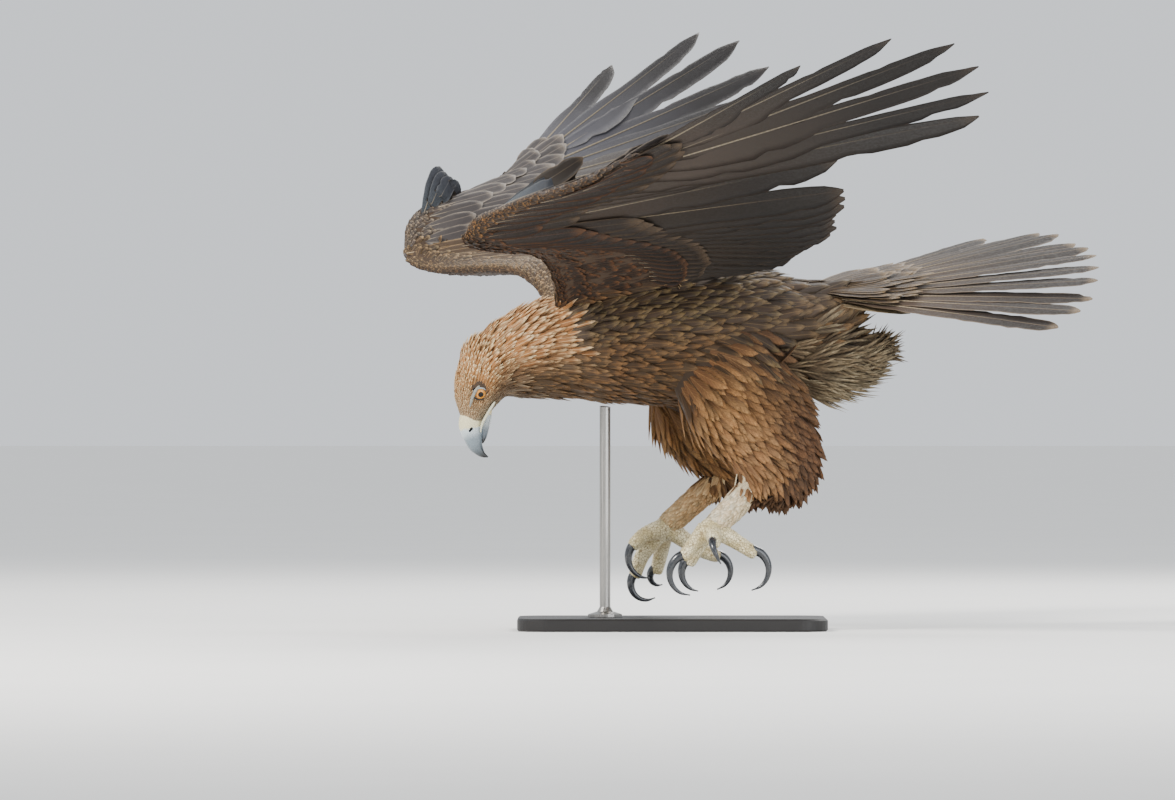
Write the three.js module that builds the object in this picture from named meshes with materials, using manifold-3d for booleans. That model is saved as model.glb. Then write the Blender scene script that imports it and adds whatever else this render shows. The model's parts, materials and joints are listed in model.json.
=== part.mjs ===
// A golden eagle in flight, wings raised and feet down, held over a flat stand by one rod.
// Millimetres, +Z up.
// The bird is modelled in a frame of its own: x runs towards the tail, y to its right, z up.
import * as THREE from 'three';
import { mergeVertices } from 'three/addons/utils/BufferGeometryUtils.js';
import Module from 'manifold-3d';

const wasm = await Module();
wasm.setup();

// Clearance kept where one piece meets the next.
const GAP = 0.45;

// Where the bird's frame stands over the middle of the base, and how far it is turned to the viewer's side.
const BIRD_AT = [-35.2, 0, 319];
const BIRD_TURN = THREE.MathUtils.degToRad(9);

// The stand: a slab with round corners, and a turned rod with a small foot.
const BASE_LENGTH = 340;
const BASE_WIDTH = 220;
const BASE_THICKNESS = 14;
const BASE_CORNER = 34;
const BASE_BEVEL = 2;
const ROD_RADIUS = 6;
const ROD_FOOT_RADIUS = 19;
const ROD_AT = [-38, 6];
const ROD_TOP = -40;

// Body sections from front to back: x, y, z, half width, half depth towards the back, half depth
// towards the belly.
const TORSO = [
  [-118, 0, -11, 40, 38, 40], [-100, 0, -11, 58, 56, 56],
  [-78, 0, -7, 68, 64, 65], [-45, 0, -3, 76, 71, 71],
  [0, 0, 1, 80, 78, 78], [45, 0, 4, 79, 81, 82], [89, 0, 8, 73, 79, 83], [134, 0, 12, 62, 72, 76],
  [170, 0, 20, 50, 58, 66], [200, 0, 33, 38, 42, 52], [218, 0, 42, 26, 30, 34], [228, 0, 46, 12, 14, 14],
];
const VENT = [
  [130, 0, -12, 50, 40, 40], [190, 0, -20, 44, 40, 42],
  [222, 0, -20, 32, 30, 32], [238, 0, -17, 12, 12, 12],
];
// Tips of the vent's long soft feathers: x and z on the middle line, and on the two sides.
const VENT_TIERS = [
  { middle: [302, 0], sides: [276, -16], root: [205, -8] },
  { middle: [254, -62], sides: [238, -58], root: [185, -40] },
];
const VENT_SPREAD = { root: 16, tip: 27 };
// Neck and head sections run from the bill back to the body.
const NECK = [
  [-178, 0, -36, 38, 30, 34], [-166, 0, -28, 43, 40, 44],
  [-150, 0, -22, 47, 46, 49], [-125, 0, -14, 54, 53, 56],
  [-100, 0, -10, 58, 57, 58], [-88, 0, -9, 40, 40, 40],
];
const HEAD = [
  [-191, 0, -96, 10, 10, 9], [-189, 0, -90, 13, 14, 14],
  [-184, 0, -77, 21, 24, 19], [-179, 0, -60, 29, 31, 27],
  [-174, 0, -45, 35, 34, 34], [-166, 0, -30, 40, 38, 42], [-158, 0, -20, 24, 24, 26],
];
const BROW = [
  [-170, 26, -49, 3, 3, 3], [-178, 27, -56, 5, 4, 4],
  [-187, 24, -68, 4.5, 4, 4], [-193, 17, -80, 2, 2, 2],
];
const BILL_UPPER = [
  [-169, 0, -129, 1, 1, 1], [-177, 0, -124.5, 3.6, 4, 3.5], [-184, 0, -116, 6.5, 7.5, 6.5],
  [-188, 0, -104, 9, 10, 8.5], [-190, 0, -93, 11, 12, 9], [-187, 0, -80, 11, 11, 8],
];
const BILL_LOWER = [
  [-174.5, 0, -115, 2, 2, 1.2], [-173.5, 0, -108, 5.5, 5, 3], [-173, 0, -98, 8, 6.5, 4.2],
  [-171, 0, -86, 9, 6.5, 5], [-169, 0, -74, 8.5, 5, 4.5],
];
const EYE_RADIUS = 10;
const EYE_AT = [-181.7, 18.9, -56.6];

// Sections of a wing's inner part from shoulder to wrist, and of its outer part from the wrist to the
// longest primaries: leading edge x, distance from the middle, height on the left wing, height on the
// right wing, then the same four for the trailing edge.
const INNER_WING = [
  [-100, 30, 36, 38, 110, 52, 78, 70], [-104, 48, 52, 50, 128, 84, 83, 74],
  [-112, 72, 72, 64, 150, 110, 88, 82], [-128, 98, 89, 76, 162, 138, 96, 90],
  [-155, 132, 98, 79, 174, 182, 110, 100], [-195, 180, 98, 78, 184, 225, 127, 116],
  [-222, 208, 101, 84, 185, 258, 145, 138], [-231, 226, 109, 100, 172, 288, 164, 160],
];
const OUTER_WING = [
  [-231, 222, 105, 96, 160, 300, 174, 172], [-225, 245, 124, 130, 162, 322, 186, 186],
  [-204, 268, 136, 150, 173, 355, 200, 200], [-172, 295, 150, 162, 194, 398, 206, 208],
  [-132, 326, 163, 170, 232, 445, 216, 228], [-62, 395, 199, 212, 282, 495, 232, 256],
  [0, 462, 235, 250, 284, 535, 254, 284], [44, 510, 260, 285, 268, 560, 281, 315],
  [84, 550, 281, 314, 238, 578, 303, 344], [140, 580, 298, 340, 178, 590, 308, 352],
];
const WING_THICKNESS = [20, 9];
// Half widths of a feather before and behind its shaft, at shares of its length.
const COVERT_TIP = [[0, 3, 3], [0.45, 11, 15], [0.85, 10, 14], [1, 2, 3]];
const VANE_THICKNESS = 0.7;
const VANE_TILT = 0.11;
// Coverts over or under every so many tail feathers: the share of the feather they cover, how far
// they stand off it at their root and their tip, and how wide they are.
const COVERTS = {
  tailOver: { every: 2, start: 0, end: 0.34, rise: 3, lift: 4.5, scale: 2.1 },
  tailUnder: { every: 2, start: 0, end: 0.4, rise: -3, lift: -5, scale: 2.4 },
};

// The tail springs from the rump, rises, and is rolled and arched.
const TAIL_AT = [184, 0, 47];
const TAIL_RISE = THREE.MathUtils.degToRad(9.4);
const TAIL_ROLL = THREE.MathUtils.degToRad(16.3);
const TAIL_ARCH = 22.5 / 176 ** 2;
const TAIL_CORE = { start: 4, root: 34, end: 66, spread: 40, step: 10, thickness: 15 };
const RECTRIX_TIP = [[0, 2, 2], [0.16, 4, 5], [0.36, 15, 17], [0.9, 22, 25], [1, 10, 12]];
const RECTRIX_ANGLES = [3.5, 10, 16.5, 23, 29.5, 36];
const RECTRIX_LENGTHS = [328, 326, 324, 321, 315, 300];

// Legs from hip to foot: x, distance from the middle, z, half width, half depth behind, half depth before.
const LEGS = {
  left: {
    thigh: [
      [70, 42, 0, 30, 56, 52], [82, 52, -42, 36, 62, 62],
      [98, 62, -75, 36, 50, 58], [115, 70, -105, 33, 42, 46],
      [125, 74, -130, 28, 34, 42], [118, 77, -152, 22, 24, 34], [112, 78, -168, 12, 12, 16],
    ],
    locks: [[166, -72], [184, -102], [212, -130], [186, -147], [160, -163]],
    tarsus: [
      [122, 75, -143, 14], [108, 77, -162, 17], [92, 84, -181, 17],
      [74, 90, -197, 16], [62, 93, -206, 12],
    ],
    palm: [[72, 91, -199, 10], [62, 93, -208, 13], [53, 93, -213, 9]],
    toes: [
      {
        bones: [[60, 87, -208], [50, 79, -228], [43, 76, -243]],
        claw: [[40, 76, -240], [34, 76, -258], [52, 76, -275]],
      },
      {
        bones: [[58, 94, -208], [43, 100, -224], [33, 102, -236]],
        claw: [[33, 102, -234], [16, 102, -256], [39, 100, -279]],
      },
      {
        bones: [[63, 97, -210], [63, 116, -216], [61, 128, -222]],
        claw: [[61, 125, -220], [58, 143, -228], [66, 141, -244]],
      },
      {
        bones: [[68, 92, -207], [93, 93, -222], [110, 94, -233]],
        claw: [[108, 95, -229], [127, 95, -250], [108, 95, -274]],
      },
    ],
  },
  right: {
    thigh: [
      [55, 42, 0, 30, 56, 48], [62, 50, -42, 35, 56, 52],
      [66, 60, -75, 34, 46, 50], [80, 66, -105, 31, 38, 42],
      [96, 68, -128, 26, 28, 30], [96, 70, -148, 20, 20, 18], [90, 70, -162, 12, 12, 10],
    ],
    locks: [[132, -74], [145, -100], [152, -126], [140, -146], [120, -160]],
    tarsus: [
      [104, 70, -142, 14], [92, 70, -159, 17], [68, 72, -182, 17],
      [48, 74, -200, 16], [38, 75, -209, 12],
    ],
    palm: [[48, 75, -201, 10], [39, 75, -209, 13], [32, 75, -213, 9]],
    toes: [
      {
        bones: [[36, 70, -209], [16, 62, -215], [3, 60, -226]],
        claw: [[5, 60, -223], [-3, 60, -244], [21, 60, -263]],
      },
      {
        bones: [[35, 77, -212], [16, 80, -238], [8, 80, -259]],
        claw: [[9, 80, -256], [6, 80, -280], [30, 80, -285]],
      },
      {
        bones: [[41, 81, -211], [40, 100, -235], [36, 104, -255]],
        claw: [[37, 104, -251], [31, 107, -268], [43, 109, -271]],
      },
      {
        bones: [[45, 76, -209], [76, 76, -230], [98, 76, -239]],
        claw: [[96, 76, -236], [114, 76, -255], [99, 76, -276]],
      },
    ],
  },
};
// Locks behind the thigh start this far down it, as shares of its sections, and lie over one another.
const LOCK_ROOTS = [1.1, 1.9, 2.7, 3.5, 4.2];
const LOCK_SCALE = 1.5;
const TOE_RADII = [11, 9, 8.5];
const CLAW_RADIUS = 5.2;

const FINISHES = {
  gold: { color: 0xb98a4e, roughness: 0.85 },
  brown: { color: 0x5d4128, roughness: 0.85 },
  dark: { color: 0x4a3a2c, roughness: 0.8 },
  buff: { color: 0xa9814f, roughness: 0.9 },
  grey: { color: 0x6d6259, roughness: 0.75 },
  horn: { color: 0x2f3238, roughness: 0.35 },
  skin: { color: 0xd8c98c, roughness: 0.6 },
  iris: { color: 0xa8641c, roughness: 0.1 },
  stand: { color: 0x2a2623, roughness: 0.45 },
};

const point = (numbers) => new THREE.Vector3(...numbers);
const mirrored = (rows, side) => rows.map(([x, y, ...rest]) => [x, y * side, ...rest]);

// Rows of numbers with more rows drawn smoothly between them.
function smooth(rows, steps) {
  const out = [];
  for (let i = 0; i + 1 < rows.length; i += 1) {
    const [a, b, c] = [rows[Math.max(i - 1, 0)], rows[i], rows[i + 1]];
    const d = rows[Math.min(i + 2, rows.length - 1)];
    for (let j = 0; j < steps; j += 1) {
      const t = j / steps;
      out.push(b.map((value, k) => {
        const start = (c[k] - a[k]) / 2;
        const end = (d[k] - value) / 2;
        const rise = c[k] - value;
        return value + t * (start + t * (3 * rise - 2 * start - end + t * (start + end - 2 * rise)));
      }));
    }
  }
  out.push(rows.at(-1));
  return out;
}

// A closed body from rings of as many points each, its two ends closed flat. The quads of the second
// half of each ring are split the other way, so that a thin blade's two faces are split alike.
function closedTube(rings) {
  const around = rings[0].length;
  const last = (rings.length - 1) * around;
  const points = rings.flat();
  const faces = [];
  for (let ring = 0; ring < last; ring += around) {
    for (let j = 0; j < around; j += 1) {
      const a = ring + j;
      const b = ring + ((j + 1) % around);
      if (j < around / 2) faces.push([a, b, b + around], [a, b + around, a + around]);
      else faces.push([a, b, a + around], [b, b + around, a + around]);
    }
  }
  for (let j = 1; j + 1 < around; j += 1) faces.push([0, j + 1, j], [last, last + j, last + j + 1]);
  const volume = faces.reduce((sum, [a, b, c]) => sum + points[a].dot(points[b].clone().cross(points[c])), 0);
  if (volume < 0) faces.forEach((face) => face.reverse());
  return asSolid(points.flatMap((p) => p.toArray()), faces.flat());
}

const asSolid = (places, corners) => new wasm.Manifold(new wasm.Mesh({
  numProp: 3, vertProperties: Float32Array.from(places), triVerts: Uint32Array.from(corners),
}));

// A three.js shape as a solid, its shared vertices merged.
function solidFrom(geometry) {
  geometry.deleteAttribute('normal');
  geometry.deleteAttribute('uv');
  const merged = mergeVertices(geometry, 1e-3);
  return asSolid(merged.attributes.position.array, merged.index.array);
}

// The body axis that a limb's run is most square to.
function axisAcross(run) {
  const shares = [[0, 1, 0], [1, 0, 0], [0, 0, 1]].map((axis) => [Math.abs(run.dot(point(axis))), axis]);
  return point(shares.reduce((best, next) => (next[0] < best[0] - 1e-6 ? next : best))[1]);
}

// A limb of oval sections. A row is x, y, z and a radius, or half width, half depth behind and half
// depth before.
function limb(rows, { around = 16, steps = 2, grow = 0 } = {}) {
  const stations = smooth(rows, steps);
  const centres = stations.map((row) => point(row.slice(0, 3)));
  const across = axisAcross(centres.at(-1).clone().sub(centres[0]));
  const rings = stations.map(([, , , width, behind = width, before = width], i) => {
    const ahead = centres[Math.min(i + 1, centres.length - 1)];
    const run = ahead.clone().sub(centres[Math.max(i - 1, 0)]).normalize();
    const side = across.clone().addScaledVector(run, -across.dot(run)).normalize();
    const back = run.clone().cross(side);
    const end = i === 0 ? -grow : (i === stations.length - 1) * grow;
    const centre = centres[i].clone().addScaledVector(run, end);
    return Array.from({ length: around }, (_, j) => {
      const angle = (2 * Math.PI * j) / around;
      const depth = Math.sin(angle) > 0 ? behind : before;
      return centre.clone().addScaledVector(side, (width + grow) * Math.cos(angle))
        .addScaledVector(back, (depth + grow) * Math.sin(angle));
    });
  });
  return closedTube(rings);
}

// A sheet with a round leading edge. A row is the leading point, the trailing point and the thickness.
// Its profile gives the share of that thickness at shares of the chord.
const FLESH_PROFILE = [[0, 0.15], [0.04, 0.55], [0.16, 0.95], [0.4, 1], [0.75, 0.75], [1, 0.45]];
const WING_PROFILE = [
  [0, 0.12], [0.02, 0.5], [0.1, 0.9], [0.26, 1], [0.45, 0.55], [0.7, 0.24], [1, 0.1],
];
function sheet(rows, { profile = FLESH_PROFILE, steps = 2, grow = 0 } = {}) {
  const stations = smooth(rows, steps);
  const leads = stations.map((row) => point(row.slice(0, 3)));
  const trails = stations.map((row) => point(row.slice(3, 6)));
  const rings = stations.map((row, i) => {
    const next = Math.min(i + 1, stations.length - 1);
    const before = Math.max(i - 1, 0);
    const chord = trails[i].clone().sub(leads[i]);
    const run = leads[next].clone().sub(leads[before]).add(trails[next]).sub(trails[before]).normalize();
    const up = chord.clone().cross(run).normalize();
    const reach = chord.length();
    const end = i === 0 ? -grow : (i === stations.length - 1) * grow;
    const side = (sign) => profile.map(([along, thick]) => leads[i].clone()
      .addScaledVector(chord, along + ((along - 0.5) * 2 * grow) / reach)
      .addScaledVector(run, end)
      .addScaledVector(up, sign * ((thick * row[6]) / 2 + grow)));
    return [...side(1), ...side(-1).reverse()];
  });
  return closedTube(rings);
}

// A row of feathers side by side. Each tells its place and frame at any share of its length, and lies
// in the surface that its neighbours' shafts span.
function feathersAlong(roots, tips, outwards = point([0, 0, 1])) {
  const spot = (i, share) => roots[i].clone().lerp(tips[i], share);
  return roots.map((root, i) => ({
    at(share) {
      const run = tips[i].clone().sub(root).normalize();
      const across = spot(Math.max(i - 1, 0), share).sub(spot(Math.min(i + 1, roots.length - 1), share));
      across.addScaledVector(run, -across.dot(run)).normalize();
      const up = run.clone().cross(across);
      return { place: spot(i, share), across, up: up.dot(outwards) < 0 ? up.negate() : up };
    },
  }));
}

// One feather: a thin closed blade from its root to its tip.
// The web before the shaft stands a little higher than the web behind it, as on tiles. A covert covers only
// the stretch from start to end of the feather it lies on, at a height that goes from rise to lift.
function vane(feather, outline, { start = 0, end = 1, rise = 0, lift = 0, scale = 1, grow = 0 } = {}) {
  const half = VANE_THICKNESS / 2 + grow;
  return closedTube(outline.map(([along, before, behind]) => {
    const { place, across, up } = feather.at(start + (end - start) * along);
    const edge = (wide, side) => place.clone().addScaledVector(across, wide)
      .addScaledVector(up, rise + (lift - rise) * along + (wide * VANE_TILT) / scale + side * half);
    const [front, rear] = [before * scale + grow, -behind * scale - grow];
    return [edge(front, 1), edge(rear, 1), edge(rear, -1), edge(front, -1)];
  }));
}

// Coverts on every so many feathers of a row.
function coverts(feathers, { every, ...form }, grow) {
  return feathers.filter((_, i) => i % every === 1)
    .map((each) => vane(each, COVERT_TIP, { ...form, grow }));
}

const fuse = (solids) => solids.reduce((whole, next) => whole.add(next));
const carve = (solid, ...others) => others.reduce((left, other) => left.subtract(other), solid);
const larger = (best, next) => (next.volume() > best.volume() ? next : best);
const largest = (solid) => solid.decompose().reduce(larger);

function geometryOf(solid) {
  const shape = solid.getMesh();
  const geometry = new THREE.BufferGeometry();
  geometry.setAttribute('position', new THREE.BufferAttribute(shape.vertProperties, 3));
  geometry.setIndex(new THREE.BufferAttribute(shape.triVerts, 1));
  return geometry;
}

// The largest closed surface, taken once more after corners that all but touch are merged.
function mesh(name, solid, finish) {
  const geometry = geometryOf(largest(solidFrom(geometryOf(largest(solid)))));
  geometry.computeVertexNormals();
  const material = new THREE.MeshStandardMaterial({ metalness: 0, ...FINISHES[finish] });
  const result = new THREE.Mesh(geometry, material);
  result.name = name;
  return result;
}

const bird = new THREE.Group();
bird.position.set(...BIRD_AT);
bird.rotation.z = BIRD_TURN;

// Torso, with the downy vent behind the legs.
const ventFeathers = (grow) => VENT_TIERS.flatMap(({ middle, sides, root }) => {
  const columns = [-1, 0, 1];
  const roots = columns.map((column) => point([root[0], column * VENT_SPREAD.root, root[1]]));
  const tips = columns.map((column) => {
    const [x, z] = column === 0 ? middle : sides;
    return point([x, column * VENT_SPREAD.tip, z]);
  });
  return feathersAlong(roots, tips).map((each, i) => vane(each, COVERT_TIP, { scale: 1.5, lift: i, grow }));
});
const torso = (grow) => fuse([
  limb(TORSO, { around: 20, grow }), limb(VENT, { around: 12, steps: 1, grow }), ...ventFeathers(grow),
]);
const torsoRoom = torso(GAP);
bird.add(mesh('torso', torso(0), 'brown'));

// Head with a brow over each eye, eyes in their sockets, and the two halves of the bill.
const SIDES = { left: -1, right: 1 };
const eyeball = (side, grow) => {
  const ball = new THREE.SphereGeometry(EYE_RADIUS + grow, 12, 8);
  ball.translate(EYE_AT[0], EYE_AT[1] * side, EYE_AT[2]);
  return solidFrom(ball);
};
const headForm = (grow) => fuse([
  limb(HEAD, { around: 18, grow }),
  ...Object.values(SIDES).map((side) => limb(mirrored(BROW, side), { around: 8, grow })),
]);
const headRoom = headForm(GAP);
const upperRoom = limb(BILL_UPPER, { around: 12, grow: GAP });
bird.add(mesh('head', carve(headForm(0), ...Object.values(SIDES).map((side) => eyeball(side, GAP))), 'gold'));
bird.add(mesh('bill_upper', carve(limb(BILL_UPPER, { around: 12 }), headRoom), 'horn'));
bird.add(mesh('bill_lower', carve(limb(BILL_LOWER, { around: 10 }), headRoom, upperRoom), 'horn'));
bird.add(mesh('neck', carve(limb(NECK, { around: 18 }), torsoRoom, headRoom), 'gold'));
Object.entries(SIDES).forEach(([name, side]) => bird.add(mesh(`eye_${name}`, eyeball(side, 0), 'iris')));

// Wings: an arm's length inside the wrist and a hand's length outside it.
function wingSheet(rows, side, [thickest, thinnest], grow = 0) {
  const placed = rows.map(([x, y, zLeft, zRight, u, w, hLeft, hRight], i) => {
    const thick = thickest + ((thinnest - thickest) * i) / (rows.length - 1);
    return side < 0 ? [x, -y, zLeft, u, -w, hLeft, thick] : [x, y, zRight, u, w, hRight, thick];
  });
  return sheet(placed, { profile: WING_PROFILE, grow });
}
Object.entries(SIDES).forEach(([name, side]) => {
  const armThickness = [WING_THICKNESS[0], WING_THICKNESS[0]];
  const inner = wingSheet(INNER_WING, side, armThickness);
  const outer = wingSheet(OUTER_WING, side, WING_THICKNESS);
  bird.add(mesh(`${name}_inner_wing`, carve(inner, torsoRoom), 'dark'));
  bird.add(mesh(`${name}_outer_wing`, carve(outer, wingSheet(INNER_WING, side, armThickness, GAP)), 'dark'));
});

// Tail: a fan in a frame of its own.
const tailFrame = new THREE.Matrix4().makeTranslation(...TAIL_AT)
  .multiply(new THREE.Matrix4().makeRotationY(-TAIL_RISE))
  .multiply(new THREE.Matrix4().makeRotationX(TAIL_ROLL));
const onTail = (reach, degrees, height = 0) => {
  const angle = THREE.MathUtils.degToRad(degrees);
  const off = reach * Math.sin(angle);
  const sag = TAIL_ARCH * off * off;
  return new THREE.Vector3(reach * Math.cos(angle), off, height - sag).applyMatrix4(tailFrame);
};
function tail(grow) {
  const core = [];
  for (let degrees = -TAIL_CORE.spread; degrees <= TAIL_CORE.spread; degrees += TAIL_CORE.step) {
    const [start, end] = [onTail(TAIL_CORE.start, degrees), onTail(TAIL_CORE.end, degrees)];
    core.push([...start.toArray(), ...end.toArray(), TAIL_CORE.thickness]);
  }
  const halves = Object.values(SIDES).flatMap((side) => {
    const outwards = RECTRIX_ANGLES.map((angle, i) => [angle * side, RECTRIX_LENGTHS[i]]).reverse();
    const rectrices = feathersAlong(
      outwards.map(([angle]) => onTail(TAIL_CORE.root, angle)),
      outwards.map(([angle, reach]) => onTail(reach, angle)),
    );
    return [
      ...rectrices.map((each) => vane(each, RECTRIX_TIP, { grow })),
      ...coverts(rectrices, COVERTS.tailOver, grow),
      ...coverts(rectrices, COVERTS.tailUnder, grow).slice(1),
    ];
  });
  return fuse([sheet(core, { steps: 1, grow }), ...halves]);
}
bird.add(mesh('tail', carve(tail(0), torsoRoom), 'grey'));

// Legs: feathered thigh and tarsus, bare toes, and a claw on each toe.
Object.entries(LEGS).forEach(([name, leg]) => {
  const side = SIDES[name];
  const sections = mirrored(leg.thigh, side);
  const lockRoots = LOCK_ROOTS.map((station) => {
    const i = Math.floor(station);
    return point(sections[i]).lerp(point(sections[i + 1]), station - i).add(point([8, 0, 0]));
  });
  const lockTips = leg.locks.map(([x, z], i) => point([x, lockRoots[i].y, z]));
  const locks = feathersAlong(lockRoots, lockTips, point([0, side, 0]));
  const thigh = (grow) => fuse([
    limb(sections, { around: 14, grow }),
    ...locks.map((each) => vane(each, COVERT_TIP, { scale: LOCK_SCALE, grow })),
  ]);
  const tarsus = (grow) => limb(mirrored(leg.tarsus, side), { around: 12, steps: 1, grow });
  const toe = ({ bones }, grow) => limb(
    mirrored(bones.map((bone, i) => [...bone, TOE_RADII[i]]), side),
    { around: 8, steps: 1, grow },
  );
  const foot = (grow) => fuse([
    limb(mirrored(leg.palm, side), { around: 8, steps: 1, grow }),
    ...leg.toes.map((each) => toe(each, grow)),
  ]);
  const footRoom = foot(GAP);
  bird.add(mesh(`${name}_thigh`, carve(thigh(0), torsoRoom), 'brown'));
  bird.add(mesh(`${name}_tarsus`, carve(tarsus(0), thigh(GAP)), 'buff'));
  bird.add(mesh(`${name}_foot`, carve(foot(0), tarsus(GAP)), 'skin'));
  leg.toes.forEach(({ claw }, i) => {
    const [base, bulge, tip] = claw;
    const rows = [[...base, CLAW_RADIUS], [...bulge, CLAW_RADIUS * 0.72], [...tip, 0.8]];
    const solid = limb(mirrored(rows, side), { around: 7, steps: 3 });
    bird.add(mesh(`${name}_claw_${i + 1}`, carve(solid, footRoom), 'horn'));
  });
});

// Rod, cut off along the belly that rests on it.
const footHeight = BASE_THICKNESS + GAP - BIRD_AT[2];
const rodProfile = [
  [0, footHeight], [ROD_FOOT_RADIUS, footHeight], [ROD_FOOT_RADIUS, footHeight + 3],
  [ROD_RADIUS + 3, footHeight + 6], [ROD_RADIUS, footHeight + 11], [ROD_RADIUS, ROD_TOP], [0, ROD_TOP],
];
const rodOutline = rodProfile.map(([radius, height]) => new THREE.Vector2(radius, height));
const rod = new THREE.LatheGeometry(rodOutline, 16);
rod.rotateX(Math.PI / 2);
rod.translate(...ROD_AT, 0);
bird.add(mesh('stand_rod', carve(solidFrom(rod), torsoRoom), 'stand'));

// Base slab, its lower face on the floor.
const slab = new THREE.Shape();
const [halfLength, halfWidth] = [BASE_LENGTH / 2 - BASE_BEVEL, BASE_WIDTH / 2 - BASE_BEVEL];
const corner = BASE_CORNER - BASE_BEVEL;
[[1, 1, 0], [-1, 1, 1], [-1, -1, 2], [1, -1, 3]].forEach(([x, y, quarter]) => slab.absarc(
  x * (halfLength - corner), y * (halfWidth - corner), corner,
  (quarter * Math.PI) / 2, ((quarter + 1) * Math.PI) / 2, false,
));
const base = new THREE.ExtrudeGeometry(slab, {
  depth: BASE_THICKNESS - 2 * BASE_BEVEL, bevelThickness: BASE_BEVEL, bevelSize: BASE_BEVEL,
  bevelSegments: 1, curveSegments: 5,
});
base.translate(0, 0, BASE_BEVEL);

const eagle = new THREE.Group();
eagle.add(mesh('stand_base', solidFrom(base), 'stand'));
eagle.add(bird);

export default eagle;
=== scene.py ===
import json
import math

import bmesh
import bpy
import numpy as np
from mathutils import Matrix, Vector, kdtree
from mathutils.bvhtree import BVHTree

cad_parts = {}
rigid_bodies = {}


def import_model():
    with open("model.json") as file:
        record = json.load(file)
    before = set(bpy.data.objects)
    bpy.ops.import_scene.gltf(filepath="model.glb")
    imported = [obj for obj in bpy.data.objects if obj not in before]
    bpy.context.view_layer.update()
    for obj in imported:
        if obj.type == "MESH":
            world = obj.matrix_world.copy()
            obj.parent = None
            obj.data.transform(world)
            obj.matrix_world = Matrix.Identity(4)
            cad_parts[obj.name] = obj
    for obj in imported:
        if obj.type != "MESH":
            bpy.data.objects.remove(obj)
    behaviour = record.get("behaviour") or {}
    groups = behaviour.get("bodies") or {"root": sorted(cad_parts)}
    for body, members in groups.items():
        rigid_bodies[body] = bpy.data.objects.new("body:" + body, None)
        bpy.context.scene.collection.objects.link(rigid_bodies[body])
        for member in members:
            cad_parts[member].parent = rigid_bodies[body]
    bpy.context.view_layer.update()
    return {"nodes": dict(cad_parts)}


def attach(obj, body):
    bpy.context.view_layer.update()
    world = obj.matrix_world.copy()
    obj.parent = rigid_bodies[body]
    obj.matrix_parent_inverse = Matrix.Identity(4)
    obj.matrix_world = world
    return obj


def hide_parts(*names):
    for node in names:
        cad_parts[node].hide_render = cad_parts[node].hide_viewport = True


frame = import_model()
scene = bpy.context.scene


# Stand: a flat base with a bevelled rim and one upright rod that ends under the belly. Both are
# turned and pressed steel: the base powder-coated black, the rod brushed along its length and
# screwed into the base from below.
def paint(code, alpha=1.0):
    """A hex colour as the linear values that Blender's materials take."""
    parts = [int(code[i:i + 2], 16) / 255 for i in (0, 2, 4)]
    linear = [c / 12.92 if c <= 0.04045 else ((c + 0.055) / 1.055) ** 2.4 for c in parts]
    return (*linear, alpha)


class Nodes:
    """Short calls that add shader nodes; every input takes a value or another node's output."""

    def __init__(self, tree):
        self.tree = tree

    def feed(self, socket, value):
        if isinstance(value, bpy.types.NodeSocket):
            self.tree.links.new(value, socket)
        else:
            socket.default_value = value

    def add(self, kind, settings=None, **inputs):
        node = self.tree.nodes.new("ShaderNode" + kind)
        for key, value in (settings or {}).items():
            setattr(node, key, value)
        for key, value in inputs.items():
            self.feed(node.inputs[key.replace("_", " ")], value)
        return node

    def number(self, operation, *values):
        node = self.add("Math", {"operation": operation})
        for socket, value in zip(node.inputs, values):
            self.feed(socket, value)
        return node.outputs[0]

    def ramp(self, value, low, high, to_low=0.0, to_high=1.0):
        node = self.add("MapRange", {"interpolation_type": "SMOOTHSTEP"})
        for socket, number in zip(node.inputs, (value, low, high, to_low, to_high)):
            self.feed(socket, number)
        return node.outputs[0]


class Finish(Nodes):
    """A material whose shader's plain numbers are set by name."""

    def __init__(self, name, colour, **sockets):
        self.material = bpy.data.materials.new(name)
        self.material.use_nodes = True
        super().__init__(self.material.node_tree)
        self.shader = self.tree.nodes["Principled BSDF"]
        self.shader.inputs["Base Color"].default_value = paint(colour)
        for socket, value in sockets.items():
            self.shader.inputs[socket.replace("_", " ")].default_value = value

    def place(self, stretch=(1, 1, 1)):
        where = self.add("TexCoord").outputs["Object"]
        return self.add("Mapping", Vector=where, Scale=stretch).outputs[0]

    def noise(self, scale, detail=3.0, stretch=(1, 1, 1)):
        return self.add("TexNoise", Vector=self.place(stretch), Scale=scale, Detail=detail,
                        Roughness=0.55).outputs["Fac"]

    def attribute(self, name, output="Color"):
        return self.add("Attribute", {"attribute_name": name}).outputs[output]

    def blend(self, factor, first, second, mode="MIX"):
        """Either colour may be a hex code."""
        node = self.add("Mix", {"data_type": "RGBA", "blend_type": mode})
        first, second = (paint(c) if isinstance(c, str) else c for c in (first, second))
        for index, value in ((0, factor), (6, first), (7, second)):
            self.feed(node.inputs[index], value)
        return node.outputs[2]

    def colour(self, output):
        self.feed(self.shader.inputs["Base Color"], output)

    def roughen(self, value, low, high):
        self.feed(self.shader.inputs["Roughness"], self.ramp(value, 0.3, 0.7, low, high))

    def bump(self, height, strength, distance):
        node = self.add("Bump", Height=height, Strength=strength, Distance=distance)
        self.feed(self.shader.inputs["Normal"], node.outputs[0])


def coat_node(name, finish):
    node = frame["nodes"][name]
    node.data.materials.clear()
    node.data.materials.append(finish.material)


powder = Finish("powder_coat", "1b1a1a", Roughness=0.5, Specular_IOR_Level=0.4)
grain = powder.noise(900, 2)
powder.colour(powder.blend(powder.noise(14), "161515", "242221"))
powder.roughen(grain, 0.42, 0.6)
powder.bump(grain, 0.25, 0.0002)
coat_node("stand_base", powder)

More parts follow.
